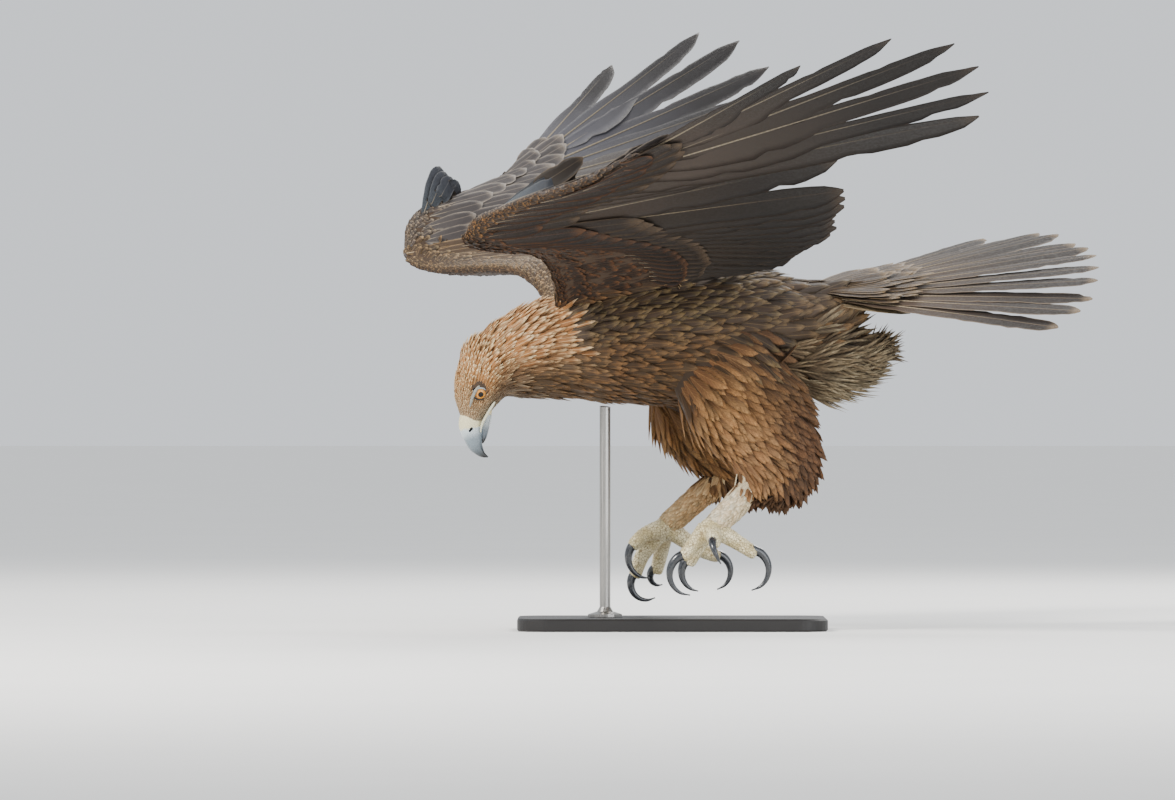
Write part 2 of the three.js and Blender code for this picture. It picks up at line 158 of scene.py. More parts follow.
steel = Finish("brushed_steel", "9a9894", Metallic=1.0, Roughness=0.3)
strokes = steel.noise(1.0, 2, stretch=(900, 900, 12))
steel.colour(steel.blend(strokes, "7e7c79", "b5b2ad"))
steel.roughen(strokes, 0.24, 0.42)
steel.bump(strokes, 0.15, 0.0001)
coat_node("stand_rod", steel)


# Skin: one closed hide over head, neck, trunk, legs and the fleshy front of both wings. The real
# one is thin and bare; here it is coloured dark brown as painted shade, for it shows only in the
# gaps between feathers. It is lofted from the same sections as the solids, drawn in by the depth
# of the plumage, then fused.
BIRD_AT = np.array([-0.0352, 0.0, 0.319])
BIRD_TURN = math.radians(9)
SIDES = {"left": -1, "right": 1}


def in_room(places):
    """Places of the bird's own frame, in millimetres, as metres of the scene."""
    places = np.asarray(places, float) / 1000
    c, s = math.cos(BIRD_TURN), math.sin(BIRD_TURN)
    x, y, z = places[..., 0], places[..., 1], places[..., 2]
    return np.stack([x * c - y * s, x * s + y * c, z], -1) + BIRD_AT


def direction(vector):
    """A direction of the bird's own frame as one of the scene."""
    return in_room(vector) - in_room([0, 0, 0])


def unit(vectors):
    return vectors / np.maximum(np.linalg.norm(vectors, axis=-1, keepdims=True), 1e-12)


def smooth_rows(rows, steps):
    """Rows of numbers with smooth rows set between them."""
    rows = np.asarray(rows, float)
    last = len(rows) - 1
    out = []
    for i in range(last):
        a, b, c, d = rows[max(i - 1, 0)], rows[i], rows[i + 1], rows[min(i + 2, last)]
        for k in range(steps):
            t = k / steps
            out.append(0.5 * (2 * b + (c - a) * t + (2 * a - 5 * b + 4 * c - d) * t * t
                              + (3 * b - a - 3 * c + d) * t ** 3))
    return np.array(out + [rows[last]])


def mirrored(rows, side):
    return [[row[0], row[1] * side, *row[2:]] for row in rows]


THINNEST_LIMB = 0.8
THINNEST_SHEET = 3.0


def limb_rings(rows, around, steps, inset=0.0):
    """Rings of an oval limb: x, y, z, half width, half depth behind, half depth before."""
    rows = [row if len(row) == 6 else [*row[:3], row[3], row[3], row[3]] for row in rows]
    stations = smooth_rows(rows, steps)
    centres = stations[:, :3]
    whole = centres[-1] - centres[0]
    axes = np.array([[0, 1, 0], [1, 0, 0], [0, 0, 1]], float)
    across = axes[int(np.argmin(np.round(np.abs(axes @ whole), 6)))]
    run = np.empty_like(centres)
    run[1:-1] = centres[2:] - centres[:-2]
    run[0], run[-1] = centres[1] - centres[0], centres[-1] - centres[-2]
    run = unit(run)
    side = unit(across - run * (run @ across)[:, None])
    back = np.cross(run, side)
    angle = 2 * math.pi * np.arange(around) / around
    half = np.maximum(stations[:, 3] - inset, THINNEST_LIMB)[:, None]
    depth = np.where(np.sin(angle) > 0, stations[:, 4:5], stations[:, 5:6]) - inset
    depth = np.maximum(depth, THINNEST_LIMB)
    return (centres[:, None] + side[:, None] * (half * np.cos(angle))[..., None]
            + back[:, None] * (depth * np.sin(angle))[..., None])


# Places along a wing's chord, and the share of its thickness there.
SHEET_PROFILE = [[0, 0.15], [0.04, 0.55], [0.16, 0.95], [0.4, 1], [0.75, 0.75], [1, 0.45]]


def sheet_rings(rows, steps, inset):
    """Rings of a flat limb with a round leading edge: leading point, trailing point, thickness."""
    stations = smooth_rows(rows, steps)
    leads, trails = stations[:, :3], stations[:, 3:6]
    middle = (leads + trails) / 2
    run = np.empty_like(middle)
    run[1:-1] = middle[2:] - middle[:-2]
    run[0], run[-1] = middle[1] - middle[0], middle[-1] - middle[-2]
    chord = trails - leads
    up = unit(np.cross(chord, unit(run)))
    thick = np.maximum(stations[:, 6] - 2 * inset, THINNEST_SHEET)[:, None]
    along, height = np.array(SHEET_PROFILE).T
    along = np.concatenate([along, along[::-1]])
    height = np.concatenate([height, -height[::-1]])
    return (leads[:, None] + chord[:, None] * along[None, :, None]
            + up[:, None] * (height * thick / 2)[..., None])


TORSO = [
    [-118, 0, -11, 40, 38, 40], [-100, 0, -11, 58, 56, 56], [-78, 0, -7, 68, 64, 65],
    [-45, 0, -3, 76, 71, 71], [0, 0, 1, 80, 78, 78], [45, 0, 4, 79, 81, 82],
    [89, 0, 8, 73, 79, 83], [134, 0, 12, 62, 72, 76], [170, 0, 20, 50, 58, 66],
    [200, 0, 33, 38, 42, 52], [218, 0, 42, 26, 30, 34], [228, 0, 46, 12, 14, 14],
]
VENT = [[130, 0, -12, 50, 40, 40], [190, 0, -20, 44, 40, 42], [222, 0, -20, 32, 30, 32],
        [250, 0, -14, 14, 12, 14]]
NECK = [
    [-178, 0, -36, 38, 30, 34], [-166, 0, -28, 43, 40, 44], [-150, 0, -22, 47, 46, 49],
    [-125, 0, -14, 54, 53, 56], [-100, 0, -10, 58, 57, 58], [-80, 0, -8, 60, 58, 60],
]
HEAD = [
    [-191, 0, -96, 10, 10, 9], [-189, 0, -90, 13, 14, 14], [-184, 0, -77, 21, 24, 19],
    [-179, 0, -60, 29, 31, 27], [-174, 0, -45, 35, 34, 34], [-166, 0, -30, 40, 38, 42],
    [-158, 0, -20, 30, 32, 34],
]
THIGHS = {
    "left": [
        [70, 42, 0, 30, 56, 52], [82, 52, -42, 36, 70, 62], [98, 62, -75, 36, 74, 58],
        [115, 70, -105, 33, 68, 46], [125, 74, -130, 28, 58, 42], [118, 77, -152, 22, 38, 34],
        [112, 78, -168, 12, 14, 16],
    ],
    "right": [
        [55, 42, 0, 30, 56, 48], [62, 50, -42, 35, 60, 52], [66, 60, -75, 34, 58, 50],
        [80, 66, -105, 31, 50, 42], [96, 68, -128, 26, 36, 30], [96, 70, -148, 20, 22, 18],
        [90, 70, -162, 12, 12, 10],
    ],
}
TARSI = {
    "left": [[122, 75, -143, 14], [108, 77, -162, 17], [92, 84, -181, 17], [74, 90, -197, 16],
             [62, 93, -206, 12]],
    "right": [[104, 70, -142, 14], [92, 70, -159, 17], [68, 72, -182, 17], [48, 74, -200, 16],
              [38, 75, -209, 12]],
}
INNER_WING = [
    [-100, 30, 36, 38, 110, 52, 78, 70, 0.62], [-104, 48, 52, 50, 128, 84, 83, 74, 0.58],
    [-112, 72, 72, 64, 150, 110, 88, 82, 0.54], [-128, 98, 89, 76, 162, 138, 96, 90, 0.5],
    [-155, 132, 98, 79, 174, 182, 110, 100, 0.44], [-195, 180, 98, 78, 184, 225, 127, 116, 0.34],
    [-222, 208, 101, 84, 185, 258, 145, 138, 0.22], [-231, 222, 107, 96, 172, 288, 164, 160, 0.11],
]
HAND = [
    [-231, 224, 106, 98, -185, 234, 116, 108, 19], [-225, 245, 124, 130, -172, 256, 132, 134, 18],
    [-204, 268, 136, 150, -150, 280, 143, 152, 17], [-172, 295, 150, 162, -122, 307, 157, 166, 15],
    [-132, 326, 163, 170, -92, 336, 168, 176, 13], [-96, 360, 182, 192, -70, 366, 185, 196, 10],
    [-74, 384, 194, 206, -60, 386, 196, 208, 5],
]
ARM_THICKNESS = 22


def wing_points(rows, side, start):
    """One edge of a wing, where a row holds its height on the left and on the right wing."""
    return np.array([[row[start], side * row[start + 1], row[start + (2 if side < 0 else 3)]]
                     for row in rows], float)


def wing_rows(side):
    """Sheet rows of the arm and of the hand."""
    lead, trail = wing_points(INNER_WING, side, 0), wing_points(INNER_WING, side, 4)
    share = np.array([row[8] for row in INNER_WING])[:, None]
    arm = np.hstack([lead, lead + (trail - lead) * share, np.full((len(lead), 1), ARM_THICKNESS)])
    thickness = np.array([[row[8]] for row in HAND], float)
    hand = np.hstack([wing_points(HAND, side, 0), wing_points(HAND, side, 4), thickness])
    return arm, hand


# Each form: its rings, the length, width and tilt of its plumage, and whether it is a sheet.
forms = []


def form(region, rings, lengths, widths, tilt, sheet=False):
    share, knots = np.linspace(0, 1, len(rings)), np.linspace(0, 1, len(lengths))
    forms.append({"region": region, "rings": rings, "length": np.interp(share, knots, lengths),
                  "width": np.interp(share, knots, widths), "tilt": tilt, "sheet": sheet})


form("trunk", limb_rings(TORSO, 40, 5, 9), [32, 36, 40, 43, 45, 46, 48, 50, 54, 58, 56, 50],
     [13, 13.5, 14, 15, 16, 17, 18, 19, 20, 20, 19, 18], 8)
form("vent", limb_rings(VENT, 30, 5, 9), [50, 58, 62, 56], [20, 20, 18, 16], 12)
form("neck", limb_rings(NECK, 36, 5, 7), [24, 28, 32, 36, 36, 34], [7, 8, 9.5, 11, 13, 15], 9)
form("head", limb_rings(HEAD, 36, 5, 3.2), [4, 5, 7.5, 11, 15, 22, 26],
     [2.2, 2.6, 3.4, 4.4, 5.4, 7, 7.5], 9)
for name, side in SIDES.items():
    form(name + "_thigh", limb_rings(mirrored(THIGHS[name], side), 30, 4, 8),
         [50, 52, 50, 47, 43, 36, 26], [15, 14, 13, 12, 11, 9, 7], 9)
    form(name + "_tarsus", limb_rings(mirrored(TARSI[name], side), 24, 5, 3.5),
         [17, 16, 14, 12, 8], [6, 6, 5.5, 4.5, 3.5], 9)
    arm, hand = wing_rows(side)
    form(name + "_arm", sheet_rings(arm, 6, 3.5), [30, 30, 29, 28, 26, 24, 22, 20],
         [17, 17, 16, 16, 15, 14, 13, 12], 5, sheet=True)
    form(name + "_hand", sheet_rings(hand, 6, 3), [20, 20, 21, 22, 22, 20, 16],
         [12, 12, 12, 12, 11, 10, 8], 5, sheet=True)


def add_tube(work, rings):
    """A closed tube through rings of equal counts, its ends fanned shut."""
    count, around, _ = rings.shape
    places = in_room(rings)
    verts = [[work.verts.new(p) for p in ring] for ring in places]
    caps = [work.verts.new(places[0].mean(0)), work.verts.new(places[-1].mean(0))]
    for i in range(count - 1):
        for j in range(around):
            k = (j + 1) % around
            work.faces.new((verts[i][j], verts[i][k], verts[i + 1][k], verts[i + 1][j]))
    for j in range(around):
        k = (j + 1) % around
        work.faces.new((caps[0], verts[0][k], verts[0][j]))
        work.faces.new((caps[1], verts[-1][j], verts[-1][k]))


def linked(name, data):
    thing = bpy.data.objects.new(name, data)
    scene.collection.objects.link(thing)
    return thing


def finished(name, mesh, slot, *finishes):
    """A piece from a finished mesh, riding on the bird."""
    mesh.name = name
    for finish in finishes:
        mesh.materials.append(finish.material)
    piece = linked(name, mesh)
    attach(piece, "root")
    return piece


def settled(piece):
    """The mesh of a piece with its modifiers worked in; the piece itself is put away."""
    bpy.context.view_layer.update()
    graph = bpy.context.evaluated_depsgraph_get()
    mesh = bpy.data.meshes.new_from_object(piece.evaluated_get(graph), depsgraph=graph)
    bpy.data.objects.remove(piece)
    return mesh


def drawn(name, work):
    """The mesh of a bmesh, shaded smooth."""
    mesh = bpy.data.meshes.new(name)
    work.to_mesh(mesh)
    work.free()
    mesh.shade_smooth()
    return mesh


def fused(tubes, voxel, rounds):
    """Closed tubes that cross, fused on a grid of voxels and eased."""
    work = bmesh.new()
    for rings in tubes:
        add_tube(work, rings)
    bmesh.ops.recalc_face_normals(work, faces=work.faces)
    draft = linked("draft", drawn("draft", work))
    fusing = draft.modifiers.new("fusing", "REMESH")
    fusing.mode, fusing.voxel_size = "VOXEL", voxel
    easing = draft.modifiers.new("easing", "SMOOTH")
    easing.factor, easing.iterations = 0.5, rounds
    mesh = settled(draft)
    mesh.shade_smooth()
    return mesh


skin_mesh = fused([each["rings"] for each in forms], 0.003, 5)
# dark brown skin: painted shade in the gaps between feathers, with pores of random tone
gap_shade_skin_finish = Finish("bare_skin", "3a2c20", Roughness=0.85)
pores = gap_shade_skin_finish.noise(260, 4)
gap_shade_skin_finish.colour(gap_shade_skin_finish.blend(pores, "2b2018", "44321f"))
gap_shade_skin_finish.bump(pores, 0.3, 0.0006)
skin = finished("skin", skin_mesh, "body_brown", gap_shade_skin_finish)
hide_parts("torso", "neck", "head", "left_thigh", "right_thigh",
            "left_tarsus", "right_tarsus")


# Plumage: the small feathers that cover the skin in overlapping rows, tailwards over the body and
# from front edge to rear over the wings. Each is a thin cambered vane on a fine shaft, shed and
# regrown in place; narrow on the nape, round on the wings, loose on the legs, down at the vent.
SHAFT_LINE = 0.035
rng = np.random.default_rng(7)


def numbers(items, key, width, kind=np.float32):
    """One property of many items of a mesh, as the rows of an array."""
    out = np.empty(len(items) * width, kind)
    items.foreach_get(key, out)
    return out.reshape(-1, width)


def outward(name, verts, faces):
    """A mesh from arrays, shaded smooth, with its faces turned outwards."""
    mesh = bpy.data.meshes.new(name)
    mesh.from_pydata(verts, [], faces)
    work = bmesh.new()
    work.from_mesh(mesh)
    bmesh.ops.recalc_face_normals(work, faces=work.faces)
    work.to_mesh(mesh)
    work.free()
    mesh.shade_smooth()
    return mesh


def lay_map(mesh, name, table):
    """A UV map from a table with one row for each vertex."""
    corners = numbers(mesh.loops, "vertex_index", 1, np.int32)[:, 0]
    layer = mesh.uv_layers.new(name=name)
    layer.data.foreach_set("uv", np.array(table, np.float32)[corners].ravel())


def feather_shape(outline, camber, droop, ragged):
    """One vane, a unit long and wide: five lines of corners above, three below, sharp edges."""
    verts, uvs, rows = [(0, 0, 0)], [(0.5, 0)], []
    for along, half in outline[1:-1]:
        row = []
        lean = rng.uniform(-ragged, ragged)
        for c in (-1, -0.5, 0, 0.5, 1):
            x = 0.5 * half * c * (1 + (lean if c > 0 else -lean))
            y = along - 0.05 * abs(c) * half + ragged * 0.1 * rng.uniform(-1, 1) * abs(c)
            z = -camber * x * x * 4 - droop * along ** 2 + 0.03 * (1 - abs(c))
            row.append(len(verts))
            verts.append((x, y, z))
            uvs.append((0.5 + 0.5 * c * half, along))
        row.append(len(verts))
        verts.append((0, along, -droop * along ** 2 - 0.03))
        uvs.append((0.5, along))
        rows.append(row)
    tip = len(verts)
    verts.append((rng.uniform(-ragged, ragged) * 0.3, outline[-1][0], -droop))
    uvs.append((0.5, 1))
    faces = []
    for line in ([0, 1, 2, 3, 4], [4, 5, 0]):
        pairs = list(zip(line, line[1:]))
        faces += [(0, rows[0][b], rows[0][a]) for a, b in pairs]
        faces += [(tip, rows[-1][a], rows[-1][b]) for a, b in pairs]
        for near, far in zip(rows, rows[1:]):
            faces += [(near[a], near[b], far[b], far[a]) for a, b in pairs]
    return verts, faces, uvs


def tuft_shape(strands, spread, curl):
    """A loose downy feather, a unit long and wide: soft strands that fan out from one root."""
    verts, uvs, faces = [], [], []
    for k in range(strands):
        fan = (k / (strands - 1) - 0.5) * spread + rng.uniform(-0.06, 0.06)
        reach = rng.uniform(0.72, 1.0)
        rise = rng.uniform(-0.15, 0.2)
        wave = rng.uniform(-curl, curl)
        start = len(verts)
        for share, thick in ((0, 0.05), (0.4, 0.085), (0.75, 0.06)):
            y = share * reach
            x = fan * share + wave * share * share
            z = rise * share - 0.2 * share * share
            for dx, dz in ((-thick, 0), (thick, 0), (0, thick * 0.5)):
                verts.append((x + dx, y, z + dz))
                uvs.append((0.5 + fan * share + dx, share))
        verts.append((fan + wave, reach, rise - 0.2))
        uvs.append((min(max(0.5 + fan, 0), 1), 1))
        faces.append((start, start + 1, start + 2))
        for s in (start, start + 3):
            faces += [(s + j, s + 3 + j, s + 3 + (j + 1) % 3, s + (j + 1) % 3) for j in range(3)]
        faces += [(start + 6 + j, start + 9, start + 6 + (j + 1) % 3) for j in range(3)]
    return verts, faces, uvs


ROUND = [(0, 0), (0.16, 0.55), (0.42, 0.98), (0.7, 1.0), (0.9, 0.66), (1, 0)]
NARROW = [(0, 0), (0.15, 0.7), (0.4, 1.0), (0.66, 0.72), (0.86, 0.34), (1, 0)]
BODY = [(0, 0), (0.15, 0.6), (0.42, 1.0), (0.66, 0.86), (0.86, 0.46), (1, 0)]
LOOSE = [(0, 0), (0.15, 0.6), (0.45, 1.0), (0.7, 0.85), (0.88, 0.5), (1, 0)]
shapes = bpy.data.collections.new("feather_shapes")
picks = {}
for kind, count, shape_of, *sizes in (
        ("round", 6, feather_shape, ROUND, 0.16, 0.1, 0.12),
        ("narrow", 6, feather_shape, NARROW, 0.22, 0.12, 0.14),
        ("body", 8, feather_shape, BODY, 0.16, 0.14, 0.2),
        ("loose", 6, feather_shape, LOOSE, 0.14, 0.22, 0.3), ("down", 5, tuft_shape, 6, 0.9, 0.14)):
    picks[kind] = (len(shapes.objects), count)
    for _ in range(count):
        label = f"shape_{len(shapes.objects):02d}"
        verts, faces, uvs = shape_of(*sizes)
        mesh = outward(label, verts, faces)
        lay_map(mesh, "feather", uvs)
        shapes.objects.link(bpy.data.objects.new(label, mesh))


def group_socket(tree, name, kind, role):
    return tree.interface.new_socket(name=name, in_out=role, socket_type="NodeSocket" + kind)


def plumage_tree():
    """Sets a feather shape on every point, turned, sized and coloured as the point says."""
    tree = bpy.data.node_groups.new("set_plumage", "GeometryNodeTree")
    for name, kind in (("Roots", "Geometry"), ("Shapes", "Collection"), ("Finish", "Material"),
                       ("Patch", "Float")):
        group_socket(tree, name, kind, "INPUT")
    group_socket(tree, "Plumage", "Geometry", "OUTPUT")
    new, link = tree.nodes.new, tree.links.new
    source, result = new("NodeGroupInput"), new("NodeGroupOutput")

    def named(name, kind):
        node = new("GeometryNodeInputNamedAttribute")
        node.data_type = kind
        node.inputs["Name"].default_value = name
        return node.outputs["Attribute"]

    gather = new("GeometryNodeCollectionInfo")
    gather.inputs["Separate Children"].default_value = True
    gather.inputs["Reset Children"].default_value = True
    link(source.outputs["Shapes"], gather.inputs["Collection"])
    turn = new("FunctionNodeEulerToRotation")
    link(named("turn", "FLOAT_VECTOR"), turn.inputs[0])
    plant = new("GeometryNodeInstanceOnPoints")
    plant.inputs["Pick Instance"].default_value = True
    link(source.outputs["Roots"], plant.inputs["Points"])
    link(gather.outputs[0], plant.inputs["Instance"])
    link(named("pick", "INT"), plant.inputs["Instance Index"])
    link(turn.outputs[0], plant.inputs["Rotation"])
    link(named("size", "FLOAT_VECTOR"), plant.inputs["Scale"])
    real = new("GeometryNodeRealizeInstances")
    link(plant.outputs[0], real.inputs[0])
    patch = new("ShaderNodeVectorMath")
    patch.operation = "SCALE"
    link(named("feather", "FLOAT_VECTOR"), patch.inputs[0])
    link(source.outputs["Patch"], patch.inputs["Scale"])
    placed = new("ShaderNodeVectorMath")
    link(patch.outputs[0], placed.inputs[0])
    link(named("bake_root", "FLOAT_VECTOR"), placed.inputs[1])
    store = new("GeometryNodeStoreNamedAttribute")
    store.data_type, store.domain = "FLOAT2", "CORNER"
    store.inputs["Name"].default_value = "OFBake"
    link(real.outputs[0], store.inputs["Geometry"])
    link(placed.outputs[0], store.inputs["Value"])
    dress = new("GeometryNodeSetMaterial")
    link(store.outputs[0], dress.inputs["Geometry"])
    link(source.outputs["Finish"], dress.inputs["Material"])
    link(dress.outputs[0], result.inputs[0])
    return tree


plumage = plumage_tree()
sockets = {item.name: item.identifier for item in plumage.interface.items_tree
           if item.in_out == "INPUT"}
BAKE_PATCH = 0.003


def plumage_piece(name, roots, finish, slot):
    """Realises the plumage of one part of the bird as a piece of its own."""
    mesh = bpy.data.meshes.new(name + "_roots")
    mesh.vertices.add(len(roots["place"]))
    mesh.vertices.foreach_set("co", roots["place"].astype(np.float32).ravel())
    for key, kind in (("turn", "FLOAT_VECTOR"), ("size", "FLOAT_VECTOR"), ("pick", "INT"),
                      ("bake_root", "FLOAT_VECTOR"), ("tone", "FLOAT_COLOR"),
                      ("edge", "FLOAT_COLOR")):
        layer = mesh.attributes.new(key, kind, "POINT")
        field = {"INT": "value", "FLOAT_VECTOR": "vector", "FLOAT_COLOR": "color"}[kind]
        layer.data.foreach_set(field, np.ascontiguousarray(roots[key]).ravel())
    draft = linked("draft", mesh)
    nodes = draft.modifiers.new("plumage", "NODES")
    nodes.node_group = plumage
    nodes[sockets["Shapes"]] = shapes
    nodes[sockets["Finish"]] = finish.material
    nodes[sockets["Patch"]] = BAKE_PATCH
    made = settled(draft)
    bpy.data.meshes.remove(mesh)
    for key in ("turn", "size", "pick", "bake_root"):
        if key in made.attributes:
            made.attributes.remove(made.attributes[key])
    made.uv_layers["OFBake"].active = True
    finished(name, made, slot)


def barb_group():
    """Where a point lies on its feather: near the margin, on the shaft, and along the barbs."""
    nodes = Nodes(bpy.data.node_groups.new("barbs", "ShaderNodeTree"))
    for name in ("Margin", "Tip", "Barbs"):
        group_socket(nodes.tree, name, "Float", "INPUT").default_value = 0.3
    for name in ("Edge", "Shaft", "Barb"):
        group_socket(nodes.tree, name, "Float", "OUTPUT")
    source = nodes.tree.nodes.new("NodeGroupInput").outputs
    result = nodes.tree.nodes.new("NodeGroupOutput").inputs
    where = nodes.add("UVMap", {"uv_map": "feather"}).outputs[0]
    across, along, _ = nodes.add("SeparateXYZ", Vector=where).outputs
    off = nodes.number("ABSOLUTE", nodes.number("SUBTRACT", across, 0.5))
    side = nodes.ramp(off, nodes.number("SUBTRACT", 0.5, source["Margin"]), 0.52)
    end = nodes.ramp(along, nodes.number("SUBTRACT", 1.0, source["Tip"]), 1.0)
    nodes.feed(result["Edge"], nodes.number("MAXIMUM", side, end))
    nodes.feed(result["Shaft"], nodes.ramp(off, SHAFT_LINE * 0.4, SHAFT_LINE, 1.0, 0.0))
    slant = nodes.number("SUBTRACT", along, nodes.number("MULTIPLY", off, 0.7))
    turns = nodes.number("SINE", nodes.number("MULTIPLY", slant, source["Barbs"]))
    nodes.feed(result["Barb"], nodes.number("MULTIPLY_ADD", turns, 0.5, 0.5))
    return nodes.tree


barbs = barb_group()


def plumage_finish(name, margin=0.22, tip=0.3, count=120, rough=(0.55, 0.8)):
    """Keratin vanes: a dark centre, a paler worn margin, a fine shaft, and barbs as bump and as
    painted shade between barbs.
    """
    finish = Finish(name, "5a4630", Roughness=0.7, Specular_IOR_Level=0.22, Sheen_Weight=0.02,
                    Sheen_Roughness=0.4)
    group = finish.tree.nodes.new("ShaderNodeGroup")
    group.node_tree = barbs
    for key, value in (("Margin", margin), ("Tip", tip), ("Barbs", count)):
        group.inputs[key].default_value = value
    part = group.outputs
    tone, edge = finish.attribute("tone"), finish.attribute("edge")
    fleck = finish.noise(320, 4)
    worn = finish.number("MULTIPLY", part["Edge"], finish.ramp(fleck, 0.25, 0.65, 0.55, 1.0))
    vane = finish.blend(worn, tone, edge)
    vane = finish.blend(finish.number("MULTIPLY", part["Shaft"], 0.45), vane, edge)
    # barb stripes darken the colour between barbs as painted shade; the flecks add random tone
    shade = finish.number("MULTIPLY_ADD", part["Barb"], 0.35, fleck)
    shade = finish.ramp(shade, 0.2, 1.1, 0.72, 1.12)
    grey = finish.add("CombineColor", Red=shade, Green=shade, Blue=shade).outputs[0]
    finish.colour(finish.blend(1.0, vane, grey, "MULTIPLY"))
    finish.roughen(fleck, *rough)
    finish.bump(finish.number("MULTIPLY_ADD", part["Barb"], 0.5, part["Shaft"]), 0.35, 0.0006)
    return finish


coat_finish = plumage_finish("body_plumage")

# Colours along each region, from its first section to its last: centre and margin of a feather on
# the upper side, then centre and margin on the lower side.
COLOURS = {
    "head": [["857660", "b5a88c", "8f8874", "bdb49c"], ["8a5f36", "e4c998", "54412f", "8c7150"],
             ["a06c3a", "f2e0bd", "473628", "7b5d3f"]],
    "neck": [["a06c3a", "f0dcb6", "47362a", "7b5c3e"], ["875b34", "e2c193", "43321f", "7b5a38"],
             ["5b432d", "b08d5e", "3e2d20", "74522f"]],
    "trunk": [["483728", "846a4a", "3f2d1f", "7a5534"], ["3d3127", "72603f", "40301f", "7b5937"],
              ["382e26", "68563f", "4d3b29", "8d6e4a"], ["342c26", "5d5142", "63523d", "9a815d"]],
    "vent": [["5d4d3b", "8a7859", "5f4f3c", "928163"], ["332a22", "6a5b45", "4d4132", "8b7c62"]],
    "left_thigh": [["4a3726", "7b5b3b", "6a4b30", "a07749"],
                   ["3a2a1e", "634630", "674830", "96704a"],
                   ["33261c", "5a412b", "5e432c", "8e6a45"]],
    # the far thigh is darker than the near one: painted shade cast by the body
    "right_thigh": [["3f2f22", "6a4c32", "5e432b", "8c683f"],
                    ["33261b", "5a402a", "553c27", "805d3a"]],
    "left_tarsus": [["a6916e", "d8c7a5", "b8a484", "e4d6ba"],
                    ["b3a07e", "e0d2b4", "c2b08f", "e9ddc4"]],
    # the far tarsus is darker and more rufous at its top: painted shadow cast by the body
    "right_tarsus": [["7d5836", "ab7d4f", "8a6340", "b98f62"],
                     ["a88c62", "d6c094", "b59a6f", "dcc9a0"]],
    "arm": [["4b3b2c", "a88c66", "241b15", "5b3b22"], ["42362a", "977d5a", "221a14", "55371f"]],
    "hand": [["433b35", "93816a", "2b221b", "8a6238"], ["434043", "7d756c", "251f1a", "54402a"]],
}
GOLD_REACH = {"head": 0.75, "neck": 0.62}
REGION_KIND = {"head": "narrow", "neck": "narrow", "trunk": "body", "vent": "down",
               "left_tarsus": "loose", "right_tarsus": "loose", "left_thigh": "loose",
               "right_thigh": "loose", "arm": "round", "hand": "round"}
# The room that a feather keeps to itself, as a share of its width.
SPACING = {"head": 0.36, "neck": 0.36, "trunk": 0.34, "vent": 0.3, "thigh": 0.34,
           "tarsus": 0.34, "arm": 0.36, "hand": 0.38}


def sown_seeds():
    """Places on every form with the lie, size and tilt of the plumage there."""
    keys = ("place", "lie", "length", "width", "tilt", "form", "share", "up")
    columns = {key: [] for key in keys}
    for index, each in enumerate(forms):
        rings = in_room(each["rings"])
        count, around, _ = rings.shape
        axis = np.gradient(rings.mean(1), axis=0)
        slight = np.ones(around)
        if each["sheet"]:
            half = around // 2
            chord = rings[:, half - 1] - rings[:, 0]
            rear = np.array([share for share, _ in SHEET_PROFILE])
            rear = np.concatenate([rear, rear[::-1]])
            back = np.interp(rear, [0, 0.16, 0.4], [0.3, 0.85, 1.0])[None, :, None]
            lie = unit(chord)[:, None] * back + unit(axis)[:, None] * (1.25 - back)
            # the first half of a sheet's corners lies on whichever face is on that side
            first_up = np.sign(np.cross(chord, axis)[:, 2].mean())
            up = np.concatenate([np.full(half, first_up), np.full(around - half, -first_up)])
            slight = np.interp(rear, [0, 0.04, 0.16, 0.4, 0.8, 0.96],
                               [0.34, 0.42, 0.7, 1.0, 1.0, 0.35])
        else:
            lie = np.empty_like(rings)
            lie[:-1] = rings[1:] - rings[:-1]
            lie[-1] = lie[-2]
            lie = unit(lie) + unit(axis)[:, None] * 0.8
            up = np.sin(2 * math.pi * np.arange(around) / around)
        share = np.linspace(0, 1, count)
        columns["place"].append(rings.reshape(-1, 3))
        columns["lie"].append(unit(lie).reshape(-1, 3))
        for key in ("length", "width"):
            columns[key].append((each[key][:, None] * slight[None] / 1000).ravel())
        columns["tilt"].append(np.full(count * around, float(each["tilt"])))
        columns["form"].append(np.full(count * around, index))
        columns["share"].append(np.repeat(share, around))
        columns["up"].append(np.tile(up, count))
    return {key: np.concatenate(value) for key, value in columns.items()}


def tree_of(places):
    tree = kdtree.KDTree(len(places))
    for i, p in enumerate(places):
        tree.insert(p, i)
    tree.balance()
    return tree


skin_places = numbers(skin_mesh.vertices, "co", 3).astype(float)
skin_mesh.calc_loop_triangles()
skin_corners = numbers(skin_mesh.loop_triangles, "vertices", 3, np.int32)
skin_normals = numbers(skin_mesh.vertex_normals, "vector", 3).astype(float)
skin_tree = BVHTree.FromPolygons(skin_places.tolist(), skin_corners.tolist())

# Seeds that the fused skin has swallowed are left out.
SEED_GAP = 0.006
seeds = sown_seeds()
near_skin = np.array([skin_tree.find_nearest(Vector(p))[3] < SEED_GAP for p in seeds["place"]])
seeds = {key: value[near_skin] for key, value in seeds.items()}
seed_tree = tree_of(seeds["place"])

